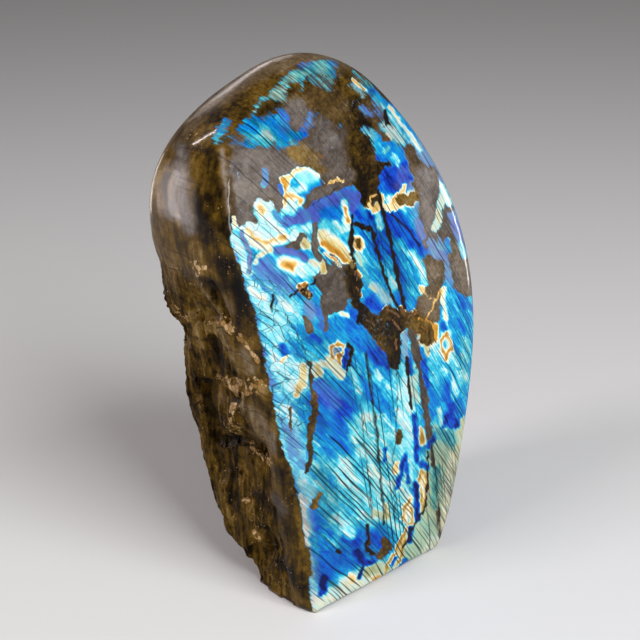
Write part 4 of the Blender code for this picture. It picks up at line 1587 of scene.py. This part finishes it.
turned = nodes.new("ShaderNodeMapping")
links.new(place, turned.inputs["Vector"])
turned.inputs["Rotation"].default_value = (0.0, UPRIGHT_LEAN, 0.0)
turned.inputs["Scale"].default_value = (1.0 / MM, 1.0 / MM, 1.0 / MM)
all_lines = calc("MULTIPLY", comb_lines(grain_bent, *COMBS["main"]), MAIN_STRENGTH)
for comb, where, strength in (
    ("fine", grain_bent, FINE_STRENGTH),
    ("dense", grain_bent, painted["lined"]),
    ("upright", turned.outputs[0], painted["upright"]),
):
    lines = calc("MULTIPLY", comb_lines(where, *COMBS[comb]), strength)
    all_lines = calc("MAXIMUM", all_lines, lines)
print("lines ready, nodes:", len(nodes))

# %% [markdown]
# ## Crackle and flakes
#
# Crackled stone shows the edges of small flat cells, so a Voronoi texture draws it from the distance
# to a cell's edge. Two more Voronoi textures give each flake of the stone a number of its own. These
# numbers, the streaks and two finer noises shift the phase, so that a field of one colour gets the
# lively mix of neighbouring colours that the real stone has. White and cream are shifted less, or
# they would turn blue and gold.

# %% Crackle and flakes
CRACKLE_CELLS = (0.42, 0.2, 0.1)
CRACKLE_EDGE = (0.035, 0.01)
CRACKLE_STRENGTH = 0.8
WIDE_FLAKES = (0.40, 0.13, 0.1)
SLIM_FLAKES = (1.1, 0.20, 0.1)
LINED_SHIFT = 0.35
WHITE_FROM, WHITE_TO, WHITE_SHIFT = 0.46, 0.56, 0.30

crackle = cells_at(stretched(grain_bent, CRACKLE_CELLS), 1.0, "DISTANCE_TO_EDGE", "Distance")
crackle_lines = calc("MULTIPLY", spread(crackle, *CRACKLE_EDGE), painted["crackle"])
all_lines = calc("MAXIMUM", all_lines, calc("MULTIPLY", crackle_lines, CRACKLE_STRENGTH))

clouds = noise_at(place, scale=230.0, detail=4.0, roughness=0.6)
frost = noise_at(place, scale=1100.0, detail=2.0, roughness=0.6)
streaks = calc("ADD", swing(broad_streaks, 0.24), swing(narrow_streaks, 0.26))
streak_share = calc("ADD", LINED_SHIFT, calc("MULTIPLY", painted["lined"], 1.0 - LINED_SHIFT))
shift = calc("MULTIPLY", streaks, streak_share)
for finer, amount in (
    (clouds, 0.26),
    (cells_at(stretched(grain_bent, WIDE_FLAKES)), 0.17),
    (cells_at(stretched(grain_bent, SLIM_FLAKES)), 0.14),
    (frost, 0.16),
):
    shift = calc("ADD", shift, swing(finer, amount))
less_where_white = spread(painted["phase"], WHITE_FROM, WHITE_TO, 1.0, WHITE_SHIFT)
phase = calc("ADD", painted["phase"], calc("MULTIPLY", shift, less_where_white))
print("phase ready, nodes:", len(nodes))

# %% [markdown]
# ## Colour of the flash
#
# A ramp turns the phase into colour, from navy to rust. A second, greener ramp stands beside it,
# because the foot and the crown flash green where the rest flashes blue. The milky veil, which along
# the front ridge is a painted highlight, the shade and the dark lines go over both.

# %% Colour of the flash
FLASH_STOPS = (
    (0.02, (0.0015, 0.007, 0.11)), (0.12, (0.004, 0.042, 0.50)), (0.20, (0.003, 0.095, 0.56)),
    (0.28, (0.003, 0.17, 0.60)), (0.38, (0.005, 0.33, 0.64)), (0.45, (0.045, 0.58, 0.77)),
    (0.50, (0.22, 0.77, 0.87)), (0.55, (0.58, 0.85, 0.88)), (0.60, (0.90, 0.88, 0.74)),
    (0.66, (0.92, 0.74, 0.36)), (0.74, (0.68, 0.34, 0.04)), (0.84, (0.27, 0.095, 0.009)),
    (0.92, (0.10, 0.075, 0.055)),
)
GREEN_STOPS = (
    (0.10, (0.004, 0.05, 0.12)), (0.30, (0.02, 0.22, 0.26)), (0.48, (0.13, 0.41, 0.31)),
    (0.60, (0.31, 0.44, 0.24)), (0.75, (0.20, 0.23, 0.04)),
)
VEIL_AND_SHEEN_COLOUR = (0.30, 0.29, 0.38)
LINE_COLOUR = (0.002, 0.009, 0.024)
LINE_COVER = 0.95
SHADE_STREAKS = (0.3, 0.65)
COMBED_STREAKS = (0.58, 0.76)
COMBED_SHADE = 0.45


def ramp(value, stops):
    """A colour ramp with (place, colour) stops."""
    band = nodes.new("ShaderNodeValToRGB")
    feed(band.inputs[0], value)
    elements = band.color_ramp.elements
    while len(elements) < len(stops):
        elements.new(0.5)
    for element, (place, colour) in zip(elements, stops):
        element.position = place
        element.color = (*colour, 1.0)
    return band.outputs[0]


def blend(share, a, b):
    """Mixes colour b over colour a."""
    mix = nodes.new("ShaderNodeMix")
    mix.data_type = "RGBA"
    feed(mix.inputs[0], share)
    for socket, colour in ((mix.inputs[6], a), (mix.inputs[7], b)):
        feed(socket, (*colour, 1.0) if isinstance(colour, tuple) else colour)
    return mix.outputs[2]


flash_colour = blend(painted["green"], ramp(phase, FLASH_STOPS), ramp(phase, GREEN_STOPS))
# the veil is milky flash, and along the front ridge a painted highlight
flash_colour = blend(painted["veil_and_sheen"], flash_colour, VEIL_AND_SHEEN_COLOUR)
shaded = calc("MULTIPLY", painted["shade"], spread(narrow_streaks, *SHADE_STREAKS))
combed = calc("MULTIPLY", painted["lined"], spread(narrow_streaks, *COMBED_STREAKS, 0.0, COMBED_SHADE))
flash_colour = blend(calc("MAXIMUM", shaded, combed), flash_colour, LINE_COLOUR)
flash_colour = blend(calc("MULTIPLY", all_lines, LINE_COVER), flash_colour, LINE_COLOUR)
print("flash colour ready, nodes:", len(nodes))

# %% [markdown]
# ## Colour of the plain stone
#
# The plain stone is a mix of light and dark grains, so its tone is pushed up and down by noises:
# speckles and mottles everywhere, deep clouds where the stone is glassy, and upright streaks in the
# broken skin. Grey stone is calmer than brown. Two ramps, one grey and one brown, give the colour.

# %% Colour of the plain stone
BROWN_STOPS = (
    (0.0, (0.002, 0.0015, 0.001)), (0.14, (0.013, 0.007, 0.0015)), (0.28, (0.052, 0.029, 0.003)),
    (0.42, (0.125, 0.068, 0.007)), (0.58, (0.22, 0.138, 0.038)), (0.80, (0.40, 0.28, 0.13)),
)
GREY_STOPS = (
    (0.0, (0.003, 0.0025, 0.002)), (0.20, (0.014, 0.011, 0.009)), (0.38, (0.040, 0.030, 0.024)),
    (0.50, (0.080, 0.063, 0.051)), (0.60, (0.15, 0.127, 0.112)), (0.75, (0.27, 0.235, 0.205)),
)
BROKEN_STREAKS, GLASSY_STREAKS, GLASSY_DEPTHS = 0.95, 0.45, 0.9
MOTTLES = 0.8
SPECKLES, MORE_WHERE_POLISHED, LESS_WHERE_GLASSY = 0.35, 0.35, 0.65
GREY_LIVELINESS, MORE_WHERE_BROWN = 0.45, 0.55
DEPTHS_DRAWN_OUT = (1.0, 1.0, 0.45)
SPLINTERS_DRAWN_OUT = (520.0, 520.0, 70.0)

not_broken = calc("SUBTRACT", 1.0, painted["broken"])
not_glassy = calc("SUBTRACT", 1.0, calc("MULTIPLY", painted["glassy"], LESS_WHERE_GLASSY))
speckle = noise_at(place, scale=700.0, detail=4.0, roughness=0.7)
speckle_share = calc("ADD", SPECKLES, calc("MULTIPLY", not_broken, MORE_WHERE_POLISHED))
speckle_share = calc("MULTIPLY", speckle_share, not_glassy)
mottle = noise_at(place, scale=160.0, detail=4.0, roughness=0.6)
depths = noise_at(stretched(place, DEPTHS_DRAWN_OUT), 95.0, 3.0, roughness=0.55, distortion=1.2)
splinter_streaks = noise_at(stretched(place, SPLINTERS_DRAWN_OUT), detail=3.0, roughness=0.6)
streaked = calc("ADD", calc("MULTIPLY", painted["broken"], BROKEN_STREAKS),
                calc("MULTIPLY", painted["glassy"], GLASSY_STREAKS))
tone_shift = swing(speckle, speckle_share)
for cause, amount in (
    (depths, calc("MULTIPLY", painted["glassy"], GLASSY_DEPTHS)),
    (mottle, MOTTLES),
    (splinter_streaks, streaked),
):
    tone_shift = calc("ADD", tone_shift, swing(cause, amount))
liveliness = calc("ADD", GREY_LIVELINESS, calc("MULTIPLY", painted["warm"], MORE_WHERE_BROWN))
tone = calc("ADD", painted["tone"], calc("MULTIPLY", tone_shift, liveliness))
plain_colour = blend(painted["warm"], ramp(tone, GREY_STOPS), ramp(tone, BROWN_STOPS))
print("plain colour ready, nodes:", len(nodes))

# %% [markdown]
# ## Flecks, crystals and painted glints
#
# Small things lie on the plain stone. Blue and pale flecks are flash that shows through it, where
# their wash lies. The thin lines cross it too, but weakly. Pale crystals are the cells of a fine
# Voronoi texture: each cell is there or not by its own number, is parted from its neighbours by a
# darker edge, and has its own share of honey colour. Glints are tiny, rare bright dots painted into
# the colour, where a splinter would catch the light. They lie in clusters, mostly in the broken skin.

# %% Flecks, crystals and painted glints
FLECK_BLUE = (0.02, 0.15, 0.42)
FLECK_PALE = (0.42, 0.52, 0.56)
FLECKS_DRAWN_OUT = (1.5, 0.5, 1.0)
FLECK_CHANCE, FLECK_CLUSTERS = (0.58, 0.70), (0.45, 0.60)
CRACK_COLOUR = (0.012, 0.007, 0.005)
LINE_COVER_ON_PLAIN = 0.5
CRYSTAL_SCALE = 720.0
CRYSTAL_CHANCE, CRYSTAL_THERE, CRYSTAL_WASH = 1.8, (0.62, 0.72), (0.05, 0.25)
CRYSTAL_EDGE, CRYSTAL_EDGE_SHARE = (0.02, 0.10), 0.25
PALE_COLOUR = (0.72, 0.50, 0.27)
HONEY_COLOUR = (0.30, 0.16, 0.04)
PAINTED_GLINT_COLOUR = (0.75, 0.47, 0.17)
GLINT_CHANCE, GLINT_CLUSTERS = (0.69, 0.75), (0.48, 0.60)

flecks = noise_at(stretched(grain_bent, FLECKS_DRAWN_OUT), detail=3.0, roughness=0.65)
fleck_clusters = noise_at(place, scale=150.0, detail=2.0)
fleck_cover = calc("MULTIPLY", spread(flecks, *FLECK_CHANCE), spread(fleck_clusters, *FLECK_CLUSTERS))
fleck_colour = blend(spread(speckle, 0.42, 0.58), FLECK_BLUE, FLECK_PALE)
plain_colour = blend(calc("MULTIPLY", fleck_cover, painted["flecked"]), plain_colour, fleck_colour)
plain_colour = blend(calc("MULTIPLY", all_lines, LINE_COVER_ON_PLAIN), plain_colour, CRACK_COLOUR)

crystals_at = stretched(place, (1.0, 1.0, 0.8))
crystal_number = cells_at(crystals_at, CRYSTAL_SCALE)
crystal_edge = cells_at(crystals_at, CRYSTAL_SCALE, "DISTANCE_TO_EDGE", "Distance")
crystal_chance = calc("ADD", painted["pale"], swing(crystal_number, CRYSTAL_CHANCE))
crystal_cover = spread(crystal_chance, *CRYSTAL_THERE)
crystal_cover = calc("MULTIPLY", crystal_cover, spread(painted["pale"], *CRYSTAL_WASH))
parted = spread(crystal_edge, *CRYSTAL_EDGE, CRYSTAL_EDGE_SHARE, 1.0)
crystal_cover = calc("MULTIPLY", crystal_cover, parted)
crystal_light = calc("POWER", calc("FRACT", calc("MULTIPLY", crystal_number, 9.7)), 1.6)
crystal_colour = blend(crystal_light, HONEY_COLOUR, PALE_COLOUR)
plain_colour = blend(crystal_cover, plain_colour, crystal_colour)

# painted glints: tiny bright dots in the colour that stand for light caught by flat splinters
painted_glints = noise_at(place, scale=1250.0, detail=1.0)
glint_clusters = noise_at(place, scale=110.0, detail=2.0)
glinting_stone = calc("ADD", painted["broken"], calc("MULTIPLY", painted["glassy"], 0.5))
painted_glint_cover = calc("MULTIPLY", spread(painted_glints, *GLINT_CHANCE), spread(glint_clusters, *GLINT_CLUSTERS))
painted_glint_cover = calc("MULTIPLY", painted_glint_cover, glinting_stone)
plain_colour = blend(painted_glint_cover, plain_colour, PAINTED_GLINT_COLOUR)
print("small marks ready, nodes:", len(nodes))

# %% [markdown]
# ## The edge between flash and plain stone
#
# The edge of each patch is kept as a soft slope over two or three points of the mesh. Noise is added
# to the slope and the sum is cut at its middle, which gives a crisp, crumbly edge that is finer than
# the mesh itself. The cracks get their edges in the same way and go over all.

# %% Edges
EDGE_OF_PLAIN = (0.28, 0.72)
EDGE_OF_CRACKS = (0.2, 0.75)

crumbs = noise_at(place, scale=700.0, detail=3.0, roughness=0.6)
teeth = noise_at(stretched(grain_bent, (1.5, 0.09, 0.1)), detail=1.0)
edge_noise = calc("ADD", calc("MULTIPLY", crumbs, 0.5), calc("MULTIPLY", teeth, 0.5))
not_plain = calc("SUBTRACT", 1.0, painted["plain"])
near_edge = calc("MULTIPLY", calc("MULTIPLY", painted["plain"], not_plain), 4.0)
crumble = calc("MULTIPLY", swing(edge_noise, 2.0), near_edge)
plain_cover = spread(calc("ADD", painted["plain"], crumble), *EDGE_OF_PLAIN)
colour = blend(plain_cover, flash_colour, plain_colour)
crack_cover = spread(calc("ADD", painted["dark"], swing(edge_noise, 0.5)), *EDGE_OF_CRACKS)
colour = blend(crack_cover, colour, CRACK_COLOUR)
print("colour ready, nodes:", len(nodes))

# %% [markdown]
# ## Gloss and bump
#
# A polished stone is smooth under a clear sheen, and the broken skin is dull, with small glints that
# are painted into its colour. The bump is small: the shape of the broken skin is already in the mesh.

# %% Surface
POLISHED_AND_BROKEN_ROUGHNESS = (0.34, 0.45)
POLISHED_AND_BROKEN_COAT = (0.20, 0.02)
COAT_ROUGHNESS = 0.08
SHEEN_BELOW_THE_COAT = 0.03
BUMP_HEIGHT = 1.0 * MM
BUMP_STRENGTH = 0.7

broken_cover = spread(painted["broken"], 0.25, 0.75)
feed(surface.inputs["Base Color"], colour)
feed(surface.inputs["Roughness"], spread(broken_cover, 0.0, 1.0, *POLISHED_AND_BROKEN_ROUGHNESS))
feed(surface.inputs["Coat Weight"], spread(broken_cover, 0.0, 1.0, *POLISHED_AND_BROKEN_COAT))
surface.inputs["Coat Roughness"].default_value = COAT_ROUGHNESS
surface.inputs["Specular IOR Level"].default_value = SHEEN_BELOW_THE_COAT
skin_grit = noise_at(place, scale=900.0, detail=4.0, roughness=0.7)
bump = nodes.new("ShaderNodeBump")
bump.inputs["Distance"].default_value = BUMP_HEIGHT
feed(bump.inputs["Height"], calc("ADD", calc("MULTIPLY", skin_grit, 0.35), splinter_streaks))
feed(bump.inputs["Strength"], spread(broken_cover, 0.0, 1.0, 0.0, BUMP_STRENGTH))
links.new(bump.outputs["Normal"], surface.inputs["Normal"])
stone.data.materials.clear()
stone.data.materials.append(material)
print("nodes in the material:", len(nodes))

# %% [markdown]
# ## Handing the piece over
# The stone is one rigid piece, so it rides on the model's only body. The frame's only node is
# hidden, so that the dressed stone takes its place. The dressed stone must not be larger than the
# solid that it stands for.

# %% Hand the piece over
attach(stone, "root")
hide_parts(STONE_NODE)
